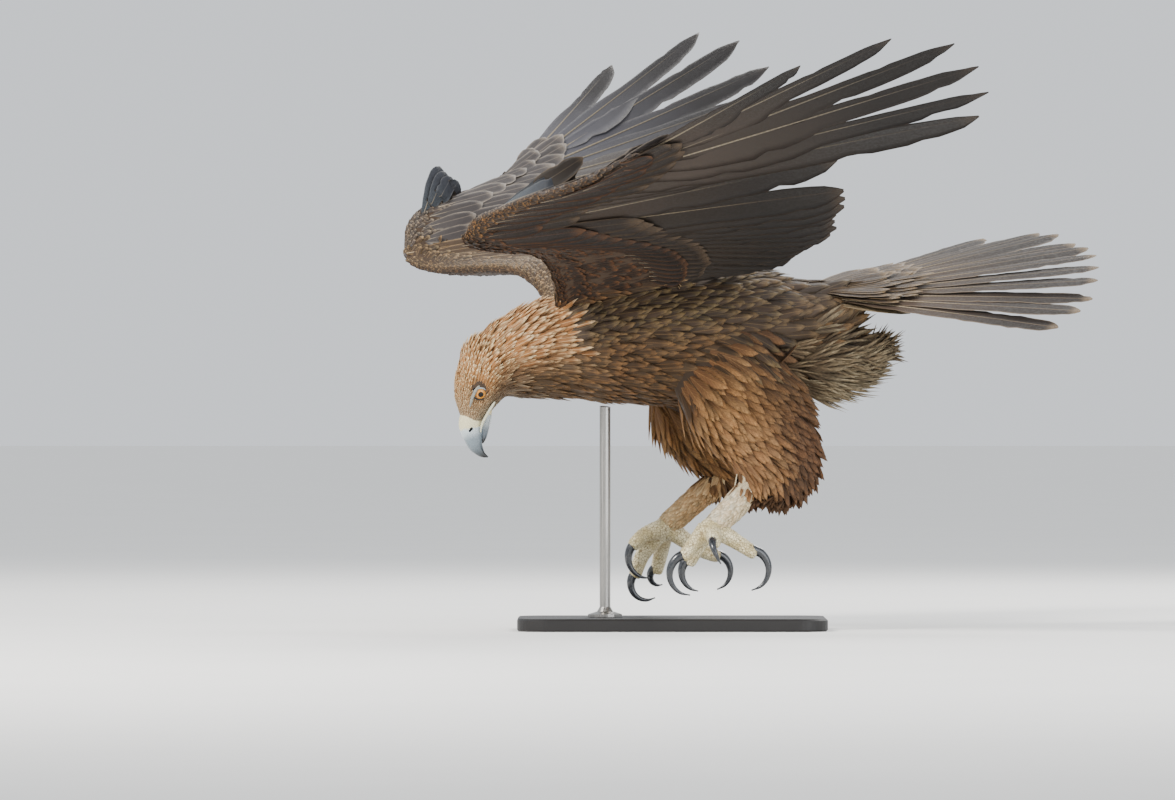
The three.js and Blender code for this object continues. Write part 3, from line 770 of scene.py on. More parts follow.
# Candidate roots, more of them where feathers are small, thinned until each keeps its own room.
triangles = skin_places[skin_corners]
centres = triangles.mean(1)
area = 0.5 * np.linalg.norm(np.cross(triangles[:, 1] - triangles[:, 0],
                                     triangles[:, 2] - triangles[:, 0]), axis=1)
nearest = np.array([seed_tree.find(p)[1] for p in centres])
region_room = np.array([SPACING[each["region"].split("_")[-1]] for each in forms])
room = (seeds["width"] * region_room[seeds["form"]])[nearest]
CANDIDATES = 90000
weight = area / room ** 2
chosen = rng.choice(len(centres), CANDIDATES, p=weight / weight.sum())
share = rng.random((CANDIDATES, 2))
flip = share.sum(1) > 1
share[flip] = 1 - share[flip]
first, second, third = (triangles[chosen][:, k] for k in range(3))
places = first + (second - first) * share[:, :1] + (third - first) * share[:, 1:]
room = room[chosen]
candidate_tree = tree_of(places)
alive = np.ones(CANDIDATES, bool)
kept = []
for i in range(CANDIDATES):
    if alive[i]:
        kept.append(i)
        for _, other, _ in candidate_tree.find_range(places[i], room[i]):
            alive[other] = False
kept = np.array(kept)
root_places = places[kept]
corners = skin_corners[chosen[kept]]
root_normals = unit(skin_normals[corners].mean(1))


NEIGHBOURS = 16
NEAREST_SQUARE = 4e-6
STRAY = 0.006


def blended_seeds(points):
    """The lie, size and region of the plumage at any points of the skin."""
    out = {key: [] for key in ("lie", "length", "width", "tilt", "share", "up", "form")}
    for p in points:
        found = seed_tree.find_n(p, NEIGHBOURS)
        index = [i for _, i, _ in found]
        weights = np.array([1 / (d * d + NEAREST_SQUARE) for _, _, d in found])
        weights /= weights.sum()
        for key in ("length", "width", "tilt", "share", "up"):
            out[key].append(float(weights @ seeds[key][index]))
        out["lie"].append(weights @ seeds["lie"][index])
        stray = seed_tree.find(Vector(p) + Vector(rng.normal(0, STRAY, 3)))[1]
        out["form"].append(seeds["form"][stray])
    return {key: np.array(value) for key, value in out.items()}


roots = blended_seeds(root_places)
roots["place"], roots["normal"] = root_places, root_normals


def unwrap_lookup():
    """A function from places on the skin to their place on an unwrap of a coarse copy of it."""
    copy = linked("unwrap", skin_mesh.copy())
    copy.modifiers.new("thin", "DECIMATE").ratio = 0.06
    coarse = settled(copy)
    sheet = linked("unwrap", coarse)
    bpy.context.view_layer.objects.active = sheet
    sheet.select_set(True)
    bpy.ops.object.mode_set(mode="EDIT")
    bpy.ops.mesh.select_all(action="SELECT")
    bpy.ops.uv.smart_project(angle_limit=math.radians(66), island_margin=0.004)
    bpy.ops.object.mode_set(mode="OBJECT")
    coarse.calc_loop_triangles()
    places = numbers(coarse.vertices, "co", 3)
    verts = numbers(coarse.loop_triangles, "vertices", 3, np.int32)
    loops = numbers(coarse.loop_triangles, "loops", 3, np.int32)
    flat = numbers(coarse.uv_layers.active.data, "uv", 2)
    tree = BVHTree.FromPolygons(places.tolist(), verts.tolist())
    bpy.data.objects.remove(sheet)

    def look(points):
        out = np.zeros((len(points), 3))
        for k, p in enumerate(points):
            place, _, face, _ = tree.find_nearest(Vector(p))
            a, b, c = (places[v].astype(float) for v in verts[face])
            ab, ac, ap = b - a, c - a, np.array(place) - a
            d00, d01, d11 = ab @ ab, ab @ ac, ac @ ac
            d20, d21 = ap @ ab, ap @ ac
            size = max(d00 * d11 - d01 * d01, 1e-18)
            v, w = (d11 * d20 - d01 * d21) / size, (d00 * d21 - d01 * d20) / size
            first, second, third = flat[loops[face]]
            out[k, :2] = (1 - v - w) * first + v * second + w * third
        return out

    return look


bake_place = unwrap_lookup()


def mixed(first, second, share):
    return first + (second - first) * share[:, None]


def tones(region, share, up, draw):
    """Centre and margin colours of feathers of a region, with each one's own small difference."""
    table = np.array([[paint(code)[:3] for code in row] for row in COLOURS[region]])
    knots = np.linspace(0, 1, len(table))
    rows = np.stack([[np.interp(share, knots, table[:, k, c]) for c in range(3)]
                     for k in range(4)]).transpose(0, 2, 1)
    high = np.clip((up + GOLD_REACH.get(region, 0.35)) / 0.8, 0, 1)
    high = high * high * (3 - 2 * high)
    out = []
    for lower, upper in ((2, 0), (3, 1)):
        colour = mixed(rows[lower], rows[upper], high)
        colour = colour * (1 + draw[:, :1] * 0.2 + draw[:, 1:2] * np.array([0.06, 0, -0.06]))
        out.append(np.hstack([np.clip(colour, 0.002, 1), np.ones((len(share), 1))]))
    return out


SWING = np.radians(7)
THIGH_SWEEP = 0.7
ROOT_DEPTH = 0.0012


def dress(name, region, chosen, slot, finish):
    """The plumage of the chosen roots as one piece."""
    index = np.flatnonzero(chosen)
    n, lie = roots["normal"][index], roots["lie"][index]
    draw = rng.uniform(-1, 1, (len(index), 6))
    if region.endswith("thigh"):
        lie = lie + direction([1000, 0, -150]) * THIGH_SWEEP
    lie = unit(lie - n * (lie * n).sum(1)[:, None])
    across = np.cross(lie, n)
    swing = SWING * draw[:, 2]
    lie = lie * np.cos(swing)[:, None] + across * np.sin(swing)[:, None]
    kind = REGION_KIND[region]
    tilt = np.radians(roots["tilt"][index] + 3 * draw[:, 3] + (14 if kind == "down" else 0))
    # where the skin turns up ahead, as in the throat, the feather is lifted clear of it
    reach = roots["length"][index] * 0.8
    ahead = roots["place"][index] + lie * reach[:, None]
    landed = np.array([skin_tree.find_nearest(Vector(p))[0][:] for p in ahead])
    climb = ((landed - roots["place"][index]) * n).sum(1) / reach
    tilt = tilt + np.arctan(np.clip(climb, 0, 0.7))
    along = lie * np.cos(tilt)[:, None] + n * np.sin(tilt)[:, None]
    across = unit(np.cross(along, n))
    up = unit(np.cross(across, along))
    turns = np.array([Matrix(np.column_stack([a, b, c]).tolist()).to_euler()[:]
                      for a, b, c in zip(across, along, up)])
    length = roots["length"][index] * (1 + 0.14 * draw[:, 4])
    width = roots["width"][index] * (1 + 0.12 * draw[:, 5])
    if kind == "down":
        width = length * 0.55
    start, count = picks[kind]
    centre, margin = tones(region, roots["share"][index], roots["up"][index], draw)
    table = {
        "place": roots["place"][index] - n * np.minimum(ROOT_DEPTH, 0.03 * length)[:, None],
        "turn": turns,
        "size": np.column_stack([width, length, width]),
        "pick": (start + rng.integers(0, count, len(index))).astype(np.int32),
        "bake_root": bake_place(roots["place"][index]), "tone": centre, "edge": margin,
    }
    plumage_piece(name, table, finish, slot)


EYE_CENTRE = [-181.7, 18.9, -56.6]
EYE_CLEARANCE = 0.0112
region_of = np.array([each["region"] for each in forms])[roots["form"]]
eyes_at = in_room([mirrored([EYE_CENTRE], side)[0] for side in SIDES.values()])
eye_gap = np.min([np.linalg.norm(root_places - at, axis=1) for at in eyes_at], axis=0)
clear = eye_gap > EYE_CLEARANCE
upper = roots["up"] > 0
dress("head_plumage", "head", (region_of == "head") & clear, "nape_gold", coat_finish)
dress("neck_plumage", "neck", region_of == "neck", "nape_gold", coat_finish)
tailward = roots["normal"] @ unit(direction([1, 0, 0]))
on_trunk = (region_of == "trunk") & (tailward < 0.6)
dress("back_plumage", "trunk", on_trunk & upper, "body_brown", coat_finish)
dress("breast_plumage", "trunk", on_trunk & ~upper, "body_brown", coat_finish)
down_finish = plumage_finish("down_plumage", 0.3, 0.5, 60, (0.75, 0.95))
dress("vent_down", "vent", region_of == "vent", "body_brown", down_finish)
for name in SIDES:
    dress(name + "_thigh_plumage", name + "_thigh", region_of == name + "_thigh", "body_brown",
          down_finish)
    dress(name + "_tarsus_plumage", name + "_tarsus", region_of == name + "_tarsus", "leg_buff",
          down_finish)
    for part in ("arm", "hand"):
        chosen = region_of == f"{name}_{part}"
        dress(f"{name}_{part}_lesser_coverts", part, chosen, "wing_brown", coat_finish)


# Flight feathers and their coverts: long stiff quills set in the rear of the wing, ten on the hand
# and sixteen along the arm, overlapping like tiles, and over and under their roots the rows of
# greater and median coverts, one to a quill. Horn shafts carry vanes of dark grey-brown.
class Quills:
    """Large feathers gathered into one mesh, each with its shaft, camber and worn margins."""

    CAMBER, TILT, SLANT = 0.06, 0.11, 0.16
    SHAFT_SIDES = 5
    SHAFT_HORN = np.array(paint("b9a98c"))
    CELL_INSET, CELL_SPAN = 0.04, 0.92

    def __init__(self, cells):
        self.verts, self.faces, self.uvs, self.bakes = [], [], [], []
        self.tones, self.edges = [], []
        self.cells = cells
        self.count = 0

    def vane(self, at, outline, colours, rows=20, scale=1.0, start=0.0, end=1.0, rise=0.0,
             lift=0.0, bend=0.0, ragged=0.05, shaft=1.5, columns=3):
        """colours: root and tip colour above, root and tip colour below, margin above and below."""
        outline = np.array(outline)
        shares = 1 - (1 - np.linspace(0, 1, rows)) ** 1.25
        lead = np.interp(shares, outline[:, 0], outline[:, 1]) * scale
        trail = np.interp(shares, outline[:, 0], outline[:, 2]) * scale
        wear = 1 + ragged * rng.uniform(-1, 0.4, (2, rows))
        split = rng.random((2, rows)) < 0.09
        wear = np.where(split, wear - 0.16, wear)
        lead, trail = lead * wear[0], trail * wear[1]
        steps = np.linspace(-1, 1, 2 * columns + 1)
        cell = (self.count % self.cells, self.count // self.cells)
        self.count += 1
        base = len(self.verts)
        width = len(steps)
        paints = [np.array(paint(code)) for code in colours]
        shade = 1 + 0.12 * rng.uniform(-1, 1)
        for layer in (1, -1):
            for r, share in enumerate(shares):
                place, across, up = at(start + (end - start) * share)
                high = rise + (lift - rise) * share + bend * share ** 2
                for s in steps:
                    wide = s * (trail[r] if s < 0 else lead[r])
                    arch = -self.CAMBER * abs(wide) * abs(s) + self.TILT * wide / scale
                    thick = 0.35 * (1 - abs(s) ** 2) * layer
                    run = np.cross(across, up) * at.handed
                    self.verts.append(place + across * wide + up * (high + arch + thick)
                                      + run * self.SLANT * abs(wide))
                    u = 0.5 + 0.5 * s
                    self.uvs.append((u, share))
                    self.bakes.append(self.spot(cell, u, share))
                    pair = paints[:2] if layer > 0 else paints[2:4]
                    grow = min(max((share - 0.25) / 0.5, 0), 1)
                    self.tones.append((pair[0] + (pair[1] - pair[0]) * grow) * shade)
                    self.edges.append(paints[4 if layer > 0 else 5] * shade)
        below = base + rows * width
        for r in range(rows - 1):
            for c in range(width - 1):
                a, b = base + r * width + c, base + r * width + c + 1
                self.faces.append((a, b, b + width, a + width))
                a, b = below + r * width + c, below + r * width + c + 1
                self.faces.append((a, a + width, b + width, b))
            for c, flip in ((0, False), (width - 1, True)):
                a, b = base + r * width + c, below + r * width + c
                quad = (a, a + width, b + width, b)
                self.faces.append(quad[::-1] if flip else quad)
        for r, flip in ((0, True), (rows - 1, False)):
            for c in range(width - 1):
                a, b = base + r * width + c, below + r * width + c
                quad = (a, b, b + 1, a + 1)
                self.faces.append(quad[::-1] if flip else quad)
        self.rod(at, shares, start, end, rise, lift, bend, shaft, cell, paints, shade)

    def spot(self, cell, u, v):
        """A place on a feather's own cell of the bake map."""
        return [(corner + self.CELL_INSET + self.CELL_SPAN * part) / self.cells
                for corner, part in zip(cell, (u, v))]

    def rod(self, at, shares, start, end, rise, lift, bend, shaft, cell, paints, shade):
        base = len(self.verts)
        pick = shares[:-1]
        pale = self.SHAFT_HORN * 0.5 + paints[4] * 0.5
        sides = self.SHAFT_SIDES
        for share in pick:
            place, across, up = at(start + (end - start) * share)
            high = rise + (lift - rise) * share + bend * share ** 2
            radius = shaft * (1 - 0.85 * share)
            for k in range(sides):
                angle = 2 * math.pi * k / sides
                self.verts.append(place + across * radius * math.cos(angle)
                                  + up * (high + 0.8 * radius * math.sin(angle)))
                self.uvs.append((0.5, share))
                self.bakes.append(self.spot(cell, 0.5, share))
                tint = pale + (paints[1] - pale) * share
                self.tones.append(tint * shade)
                self.edges.append(tint * shade)
        for r in range(len(pick) - 1):
            for k in range(sides):
                a, b = base + r * sides + k, base + r * sides + (k + 1) % sides
                self.faces.append((a, b, b + sides, a + sides))
        last = base + (len(pick) - 1) * sides
        self.faces.append(tuple(base + k for k in reversed(range(sides))))
        self.faces.append(tuple(last + k for k in range(sides)))

    def piece(self, name, finish, slot):
        mesh = outward(name, in_room(np.array(self.verts)).tolist(), self.faces)
        lay_map(mesh, "feather", self.uvs)
        lay_map(mesh, "OFBake", self.bakes)
        for label, table in (("tone", self.tones), ("edge", self.edges)):
            layer = mesh.attributes.new(label, "FLOAT_COLOR", "POINT")
            colours = np.clip(np.array(table), 0, 1).astype(np.float32)
            layer.data.foreach_set("color", colours.ravel())
        mesh.uv_layers["OFBake"].active = True
        return finished(name, mesh, slot, finish)


def row_of_feathers(root_points, tip_points):
    """Frames of feathers side by side, listed from the wing's tip inwards."""
    root_points, tip_points = np.array(root_points), np.array(tip_points)
    count = len(root_points)

    def frame_of(i):
        def at(share):
            def spot(k):
                k = min(max(k, 0), count - 1)
                return root_points[k] + (tip_points[k] - root_points[k]) * share
            run = unit(tip_points[i] - root_points[i])
            across = spot(i - 1) - spot(i + 1)
            across = unit(across - run * (across @ run))
            up = np.cross(run, across)
            at.handed = 1 if up[2] > 0 else -1
            return spot(i), across, up * at.handed
        return at
    return [frame_of(i) for i in range(count)]


def along_list(points, station):
    i = int(min(math.floor(station), len(points) - 2))
    return points[i] + (points[i + 1] - points[i]) * (station - i)


PRIMARY_TIPS = [
    [82, 58, 551, 280, 314], [173, 164, 582, 308, 353], [240, 209, 580, 304, 345],
    [268, 241, 567, 281, 315], [284, 242, 542, 254, 286], [282, 244, 500, 232, 260],
    [231, 212, 448, 216, 238], [193, 184, 400, 205, 221], [173, 168, 356, 199, 208],
    [161, 158, 328, 189, 195],
]
ALULA_TIPS = {"left": [-111, -300, 194], "right": [-183, 272, 196]}
INNER_FEATHERS = 16
# Outlines of vanes: the share of the length, then the width ahead of the shaft and behind it.
FINGER = [(0, 1.5, 1.5), (0.16, 4, 8), (0.28, 10, 24), (0.42, 12, 31), (0.52, 11, 27),
          (0.6, 8, 18), (0.82, 7.5, 16), (0.93, 6.5, 11), (1, 0.8, 0.8)]
BROAD = [(0, 2, 2), (0.12, 5, 8), (0.28, 12, 25), (0.6, 15, 31), (0.86, 14, 28), (0.95, 9, 18),
         (1, 1.5, 2)]
SECONDARY = [(0, 2, 2), (0.12, 8, 10), (0.3, 15, 25), (0.86, 17, 28), (0.95, 12, 19), (1, 2, 3)]
COVERT = [(0, 2, 2), (0.25, 8, 10), (0.6, 12, 15), (0.86, 11, 13), (0.96, 6, 7), (1, 1, 1)]
# The outer five of the hand's ten feathers, the inner five, and those of the arm.
FLIGHT = [
    (FINGER, ("4a494f", "1e1b1b", "382f28", "15110f", "35302d", "2e2620"),
     {"rows": 30, "bend": 6, "ragged": 0.04, "shaft": 2.0}),
    (BROAD, ("48423f", "241f1c", "362d26", "181310", "443a31", "33291f"),
     {"rows": 24, "bend": 3, "shaft": 1.8}),
    (SECONDARY, ("43392f", "271f19", "2b231c", "16110d", "574830", "33271b"),
     {"rows": 20, "shaft": 1.5}),
]
ON_HAND = 10


def plain_vane(root, tip, margin):
    """The colours of a covert, whose two faces are alike."""
    return root, tip, root, tip, margin, margin


ABOVE_HAND = plain_vane("4a4543", "3a3534", "7d7265")
ABOVE_ARM = plain_vane("4b3c2d", "3a2d21", "927753")
BELOW = plain_vane("352c25", "1f1813", "4b3c2c")
BELOW_INNER = plain_vane("241b15", "1a130f", "4f331d")
ALULA = ("4d5257", "32343a", "3a332c", "27211c", "5d5d5e", "574a3b")
quill_finish = plumage_finish("quill_plumage", 0.08, 0.07, 420, (0.42, 0.6))
covert_finish = plumage_finish("covert_plumage", 0.16, 0.16, 260, (0.5, 0.7))


def build_wing(name, side):
    arm_lead, arm_trail = wing_points(INNER_WING, side, 0), wing_points(INNER_WING, side, 4)
    flesh = np.array([row[8] for row in INNER_WING])[:, None]
    arm_edge = arm_lead + (arm_trail - arm_lead) * flesh
    hand_lead, hand_trail = wing_points(HAND, side, 0), wing_points(HAND, side, 4)
    root_points, tip_points = [], []
    for i, (left, right, y, low, high) in enumerate(PRIMARY_TIPS):
        station = 5.2 - 5 * i / 9
        lead, trail = along_list(hand_lead, station), along_list(hand_trail, station)
        root_points.append(lead + (trail - lead) * 0.6)
        tip_points.append(np.array([left, -y, low] if side < 0 else [right, y, high], float))
    for i in range(INNER_FEATHERS):
        inwards = (i + 0.5) / INNER_FEATHERS
        station = 7 - 5.9 * inwards
        lead, edge = along_list(arm_lead, station), along_list(arm_edge, station)
        root_points.append(lead + (edge - lead) * 0.86)
        tip = along_list(arm_trail, 7 - 6.9 * inwards)
        tip_points.append(tip + unit(tip - root_points[-1]) * rng.uniform(-10, 3))
    quills = row_of_feathers(root_points, tip_points)
    flight = Quills(6)
    for i, at in enumerate(quills):
        outline, colours, sizes = FLIGHT[min(i // 5, 2)]
        flight.vane(at, outline, colours, **sizes)
    flight_piece = flight.piece(name + "_flight_feathers", quill_finish, "wing_brown")
    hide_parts(name + "_inner_wing", name + "_outer_wing")

    coverts = Quills(12)
    for i, at in enumerate(quills):
        above, width, reach, ahead = (ABOVE_HAND, 0.85, 0.27, 0.02) if i < ON_HAND else \
            (ABOVE_ARM, 1.05, 0.43, 0.08)
        for colours, share, rise, lift in ((above, 1, 3.2, 5.0), (BELOW, 0.95, -3.2, -5.0)):
            coverts.vane(at, COVERT, colours, rows=10, scale=width, start=-ahead,
                         end=reach * share, rise=rise, lift=lift, columns=2, shaft=0.9,
                         ragged=0.08)
        for colours, share, rise, lift in ((above, 0.52, 6.0, 7.4),
                                           (BELOW_INNER, 0.55, -6.0, -7.4)):
            coverts.vane(at, COVERT, colours, rows=8, scale=width * 0.9, start=-1.6 * ahead,
                         end=reach * share, rise=rise, lift=lift, columns=2, shaft=0.7,
                         ragged=0.1)
    coverts.piece(name + "_greater_coverts", covert_finish, "wing_brown")

    alula = Quills(3)
    tip = np.array(ALULA_TIPS[name], float)
    starts, ends = [], []
    for i in range(4):
        station = 1 + 0.2 * i
        lead, trail = along_list(hand_lead, station), along_list(hand_trail, station)
        starts.append(lead + (trail - lead) * 0.3)
        behind = unit(hand_trail[1] - hand_lead[1]) * 8 * i
        ends.append(tip + (starts[-1] - tip) * 0.12 * i + behind)
    for i, at in enumerate(row_of_feathers(starts, ends)):
        alula.vane(at, COVERT, ALULA, rows=14, scale=0.85, rise=2 * i, lift=2 * i, shaft=1.2)
    alula.piece(name + "_alula", quill_finish, "wing_brown")


for name, side in SIDES.items():
    build_wing(name, side)


# Tail: twelve broad quills in a fan, the middle pair uppermost, with coverts over and under their
# roots. The vanes are dark grey-brown, darker still at their ends, with paler worn margins.
TAIL_AT = np.array([184.0, 0, 47])
TAIL_RISE, TAIL_ROLL = math.radians(9.4), math.radians(16.3)
TAIL_ARCH = 22.5 / 176 ** 2
RECTRICES = [(3.5, 328), (10, 326), (16.5, 324), (23, 321), (29.5, 315), (36, 300)]
TAIL_VANE = [(0, 2, 2), (0.1, 7, 8), (0.3, 13, 16), (0.8, 16, 20), (0.93, 13, 17), (0.985, 6, 8),
             (1, 2, 2)]
tail_turn = np.array(Matrix.Rotation(-TAIL_RISE, 3, "Y") @ Matrix.Rotation(TAIL_ROLL, 3, "X"))


def on_tail(reach, degrees):
    off = reach * math.sin(math.radians(degrees))
    local = [reach * math.cos(math.radians(degrees)), off, -TAIL_ARCH * off * off]
    return TAIL_AT + tail_turn @ np.array(local)


def between(frames, station):
    """The frame of a feather that grows between two of a row."""
    low = min(int(station), len(frames) - 1)
    high, share = min(low + 1, len(frames) - 1), station - low

    def at(along):
        (place, across, up), (other, _, _) = frames[low](along), frames[high](along)
        at.handed = frames[low].handed
        return place + (other - place) * share, across, up
    return at


TAIL_COLOURS = ("46392f", "211a15", "4b3e33", "271f18", "7d6a53", "6a5843")
TAIL_ROOT = 34
DARK = plain_vane("42362b", "352b23", "7a6446")
PALE = plain_vane("6f614d", "857459", "a08c6c")
tail_finish = plumage_finish("tail_plumage", 0.1, 0.06, 420, (0.6, 0.8))
tail = Quills(5)
tail_coverts = Quills(12)
for side in SIDES.values():
    fan = [(angle * side, reach) for angle, reach in reversed(RECTRICES)]
    frames = row_of_feathers([on_tail(TAIL_ROOT, angle) for angle, _ in fan],
                             [on_tail(reach, angle) for angle, reach in fan])
    for i, at in enumerate(frames):
        tail.vane(at, TAIL_VANE, TAIL_COLOURS, rows=26, bend=rng.uniform(-6, 2), shaft=1.7,
                  ragged=0.12)
        for colours, reach, rise in ((DARK, 0.34, 3.5), (DARK, 0.22, 6), (PALE, 0.38, -4)):
            for k in range(2):
                step = math.copysign(rng.uniform(0, 2), rise)
                tail_coverts.vane(between(frames, i + k / 2), COVERT, colours, rows=9, scale=0.72,
                                  start=-0.12, end=reach * rng.uniform(0.8, 1.15), rise=rise + step,
                                  lift=1.5 * rise + step, columns=2, shaft=0.9, ragged=0.16)
tail_piece = tail.piece("tail_quills", tail_finish, "tail_grey")
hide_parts("tail")
tail_coverts.piece("tail_coverts", covert_finish, "tail_grey")


# Bill: horn over bone, the upper half hooked over the lower, black at the tip and blue-grey at the
# base, with a pale soft cere that holds the nostrils and a thin pale fleshy gape along the mouth.
def limb_piece(name, parts, finish, slot, cut=()):
    """A piece of one or more closed limbs; 'along' runs from 0 at a limb's first section to 1."""
    work = bmesh.new()
    layer = work.verts.layers.float.new("along")
    for rings in parts:
        start = len(work.verts)
        add_tube(work, rings)
        work.verts.ensure_lookup_table()
        count, around, _ = rings.shape
        shares = [*np.repeat(np.linspace(0, 1, count), around), 0.0, 1.0]
        for vert, share in zip(work.verts[start:], shares):
            vert[layer] = share
    bmesh.ops.recalc_face_normals(work, faces=work.faces)
    mesh = drawn(name, work)
    if cut:
        draft = linked("draft", mesh)
        for tool in cut:
            carving = draft.modifiers.new("carving", "BOOLEAN")
            carving.operation, carving.object, carving.solver = "DIFFERENCE", tool, "EXACT"
        mesh = settled(draft)
        mesh.shade_smooth()
    return finished(name, mesh, slot, finish)


BILL_UPPER = [
    [-169, 0, -128.5, 0.8, 0.8, 0.8], [-176, 0, -125, 3.4, 4, 4], [-183.5, 0, -116, 6.5, 7.5, 9],
    [-187.5, 0, -104, 9, 10, 12.6], [-189.5, 0, -93, 11.2, 12, 15], [-187, 0, -80, 12, 12, 15],
]
BILL_LOWER = [
    [-175.5, 0, -113.5, 1.6, 1.5, 1.2], [-174, 0, -107, 4.8, 3.5, 3.4],
    [-172.6, 0, -98, 7.4, 5, 4.6], [-171, 0, -86, 9.4, 6, 5.5], [-169, 0, -74, 9, 5, 4.5],
]
NOSTRIL_AT, NOSTRIL_RADII, NOSTRIL_LEAN = [-189.5, 9.2, -98.5], (1.3, 2.6, 2.9), 0.5


def horn_finish(name, tip, middle, base, soft, edge):
    """Horn that darkens to its tip, polished, with fine growth lines along it."""
    finish = Finish(name, middle, Roughness=0.3, Coat_Weight=0.35, Coat_Roughness=0.15)
    along = finish.attribute("along", "Fac")
    cloud = finish.noise(160)
    along = finish.number("MULTIPLY_ADD", finish.number("SUBTRACT", cloud, 0.5), 0.12, along)
    shade = finish.blend(finish.ramp(along, 0.12, edge[0]), tip, middle)
    shade = finish.blend(finish.ramp(along, edge[0], edge[1]), shade, base)
    shade = finish.blend(finish.ramp(along, edge[1], edge[1] + 0.05), shade, soft)
    finish.colour(shade)
    finish.feed(finish.shader.inputs["Roughness"], finish.ramp(along, 0.6, 0.85, 0.28, 0.55))
    finish.bump(finish.noise(1.0, stretch=(260, 260, 900)), 0.18, 0.0003)
    return finish


upper_horn = horn_finish("bill_horn", "141518", "6d7a82", "b4bfc2", "cfc7a0", (0.5, 0.7))
lower_horn = horn_finish("lower_bill_horn", "1c1d20", "566069", "a7afb0", "cdbd88", (0.4, 0.8))
nostrils = []
for side in SIDES.values():
    ball = bmesh.new()
    bmesh.ops.create_uvsphere(ball, u_segments=20, v_segments=12, radius=0.001)
    place = in_room(mirrored([NOSTRIL_AT], side)[0])
    ball.transform(Matrix.Translation(place) @ Matrix.Rotation(NOSTRIL_LEAN, 4, "Y")
                   @ Matrix.Diagonal((*NOSTRIL_RADII, 1)))
    nostrils.append(linked("nostril", drawn("nostril", ball)))
upper_bill = limb_piece("upper_bill", [limb_rings(BILL_UPPER, 40, 10)], upper_horn, "bill_horn",
                        cut=nostrils)
for tool in nostrils:
    bpy.data.objects.remove(tool)
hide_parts("bill_upper")
lower_bill = limb_piece("lower_bill", [limb_rings(BILL_LOWER, 36, 8)], lower_horn, "bill_horn")
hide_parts("bill_lower")

GAPE = [[-178.6, 8.6, -101, 0.6], [-177, 11.6, -92, 1.3], [-172.5, 15.2, -82, 1.5],
        [-167.5, 18.8, -73, 1.5], [-164.5, 20.6, -68, 0.8]]
soft_skin = Finish("gape_skin", "c9c6a8", Roughness=0.45, Subsurface_Weight=0.15,
                   Subsurface_Radius=(0.003, 0.002, 0.001))
pits = soft_skin.noise(500)
soft_skin.colour(soft_skin.blend(pits, "aeb0a0", "d8d4b4"))
soft_skin.roughen(pits, 0.38, 0.6)
soft_skin.bump(pits, 0.3, 0.0003)
limb_piece("gape_flanges", [limb_rings(mirrored(GAPE, side), 14, 6) for side in SIDES.values()],
           soft_skin, "bill_horn")


# Eyes: glass, amber with a black pupil under a clear cornea, set deep below a bony brow. A ring of
# bare skin is the lid, and the brow over it is a ridge of pale bare skin, feathered above.
EYE_RADIUS = 9.8
CORNEA = 0.7
LID_SECTIONS, LID_SIDES = 48, 10
LID_WIDE, LID_THICK = 0.0011, 0.0009
GAZE = [0.05, 0.93, -0.34]
eye_glass = Finish("eye_glass", "a8641c", Roughness=0.05, Specular_IOR_Level=0.2,
                   Coat_Weight=0.25, Coat_Roughness=0.02)
swing = eye_glass.attribute("off_axis", "Fac")
rays = eye_glass.noise(900)
iris = eye_glass.blend(eye_glass.ramp(swing, 0.34, 0.7), "c07a28", "7c430f")
iris = eye_glass.blend(eye_glass.number("MULTIPLY", rays, 0.5), iris, "e0a850")
iris = eye_glass.blend(eye_glass.ramp(swing, 0.29, 0.32), "050403", iris)
eye_glass.colour(eye_glass.blend(eye_glass.ramp(swing, 0.7, 0.75), iris, "0c0908"))
lid_skin = Finish("lid_skin", "8d949a", Roughness=0.5)
folds = lid_skin.noise(700)
unshadowed_lid = lid_skin.blend(folds, "5f666c", "a7aeb0")
# the lid's side toward the bill is painted near black: a painted shadow below the lid
lid_shadow_toward_bill = lid_skin.ramp(lid_skin.attribute("lid_shadow_toward_bill", "Fac"), 0.05, 0.45)
lid_skin.colour(lid_skin.blend(lid_shadow_toward_bill, unshadowed_lid, "17130f"))
lid_skin.bump(folds, 0.4, 0.0003)
brow_skin = Finish("brow_skin", "8d8f88", Roughness=0.55)
ridges = brow_skin.noise(420, 4)
brow_skin.colour(brow_skin.blend(ridges, "5c6062", "9a9988"))
brow_skin.bump(ridges, 0.45, 0.0004)
BROW = [[-181, 26.6, -49, 0.7, 0.7, 0.7], [-184.2, 27.6, -52.3, 1.5, 1.5, 1.5],
        [-187.2, 27.8, -56.7, 1.9, 1.7, 1.8], [-189.8, 26.0, -62.7, 1.9, 1.7, 1.8],
        [-191.4, 23.4, -68.9, 1.5, 1.4, 1.4], [-192.0, 20.6, -73.4, 0.7, 0.7, 0.7]]


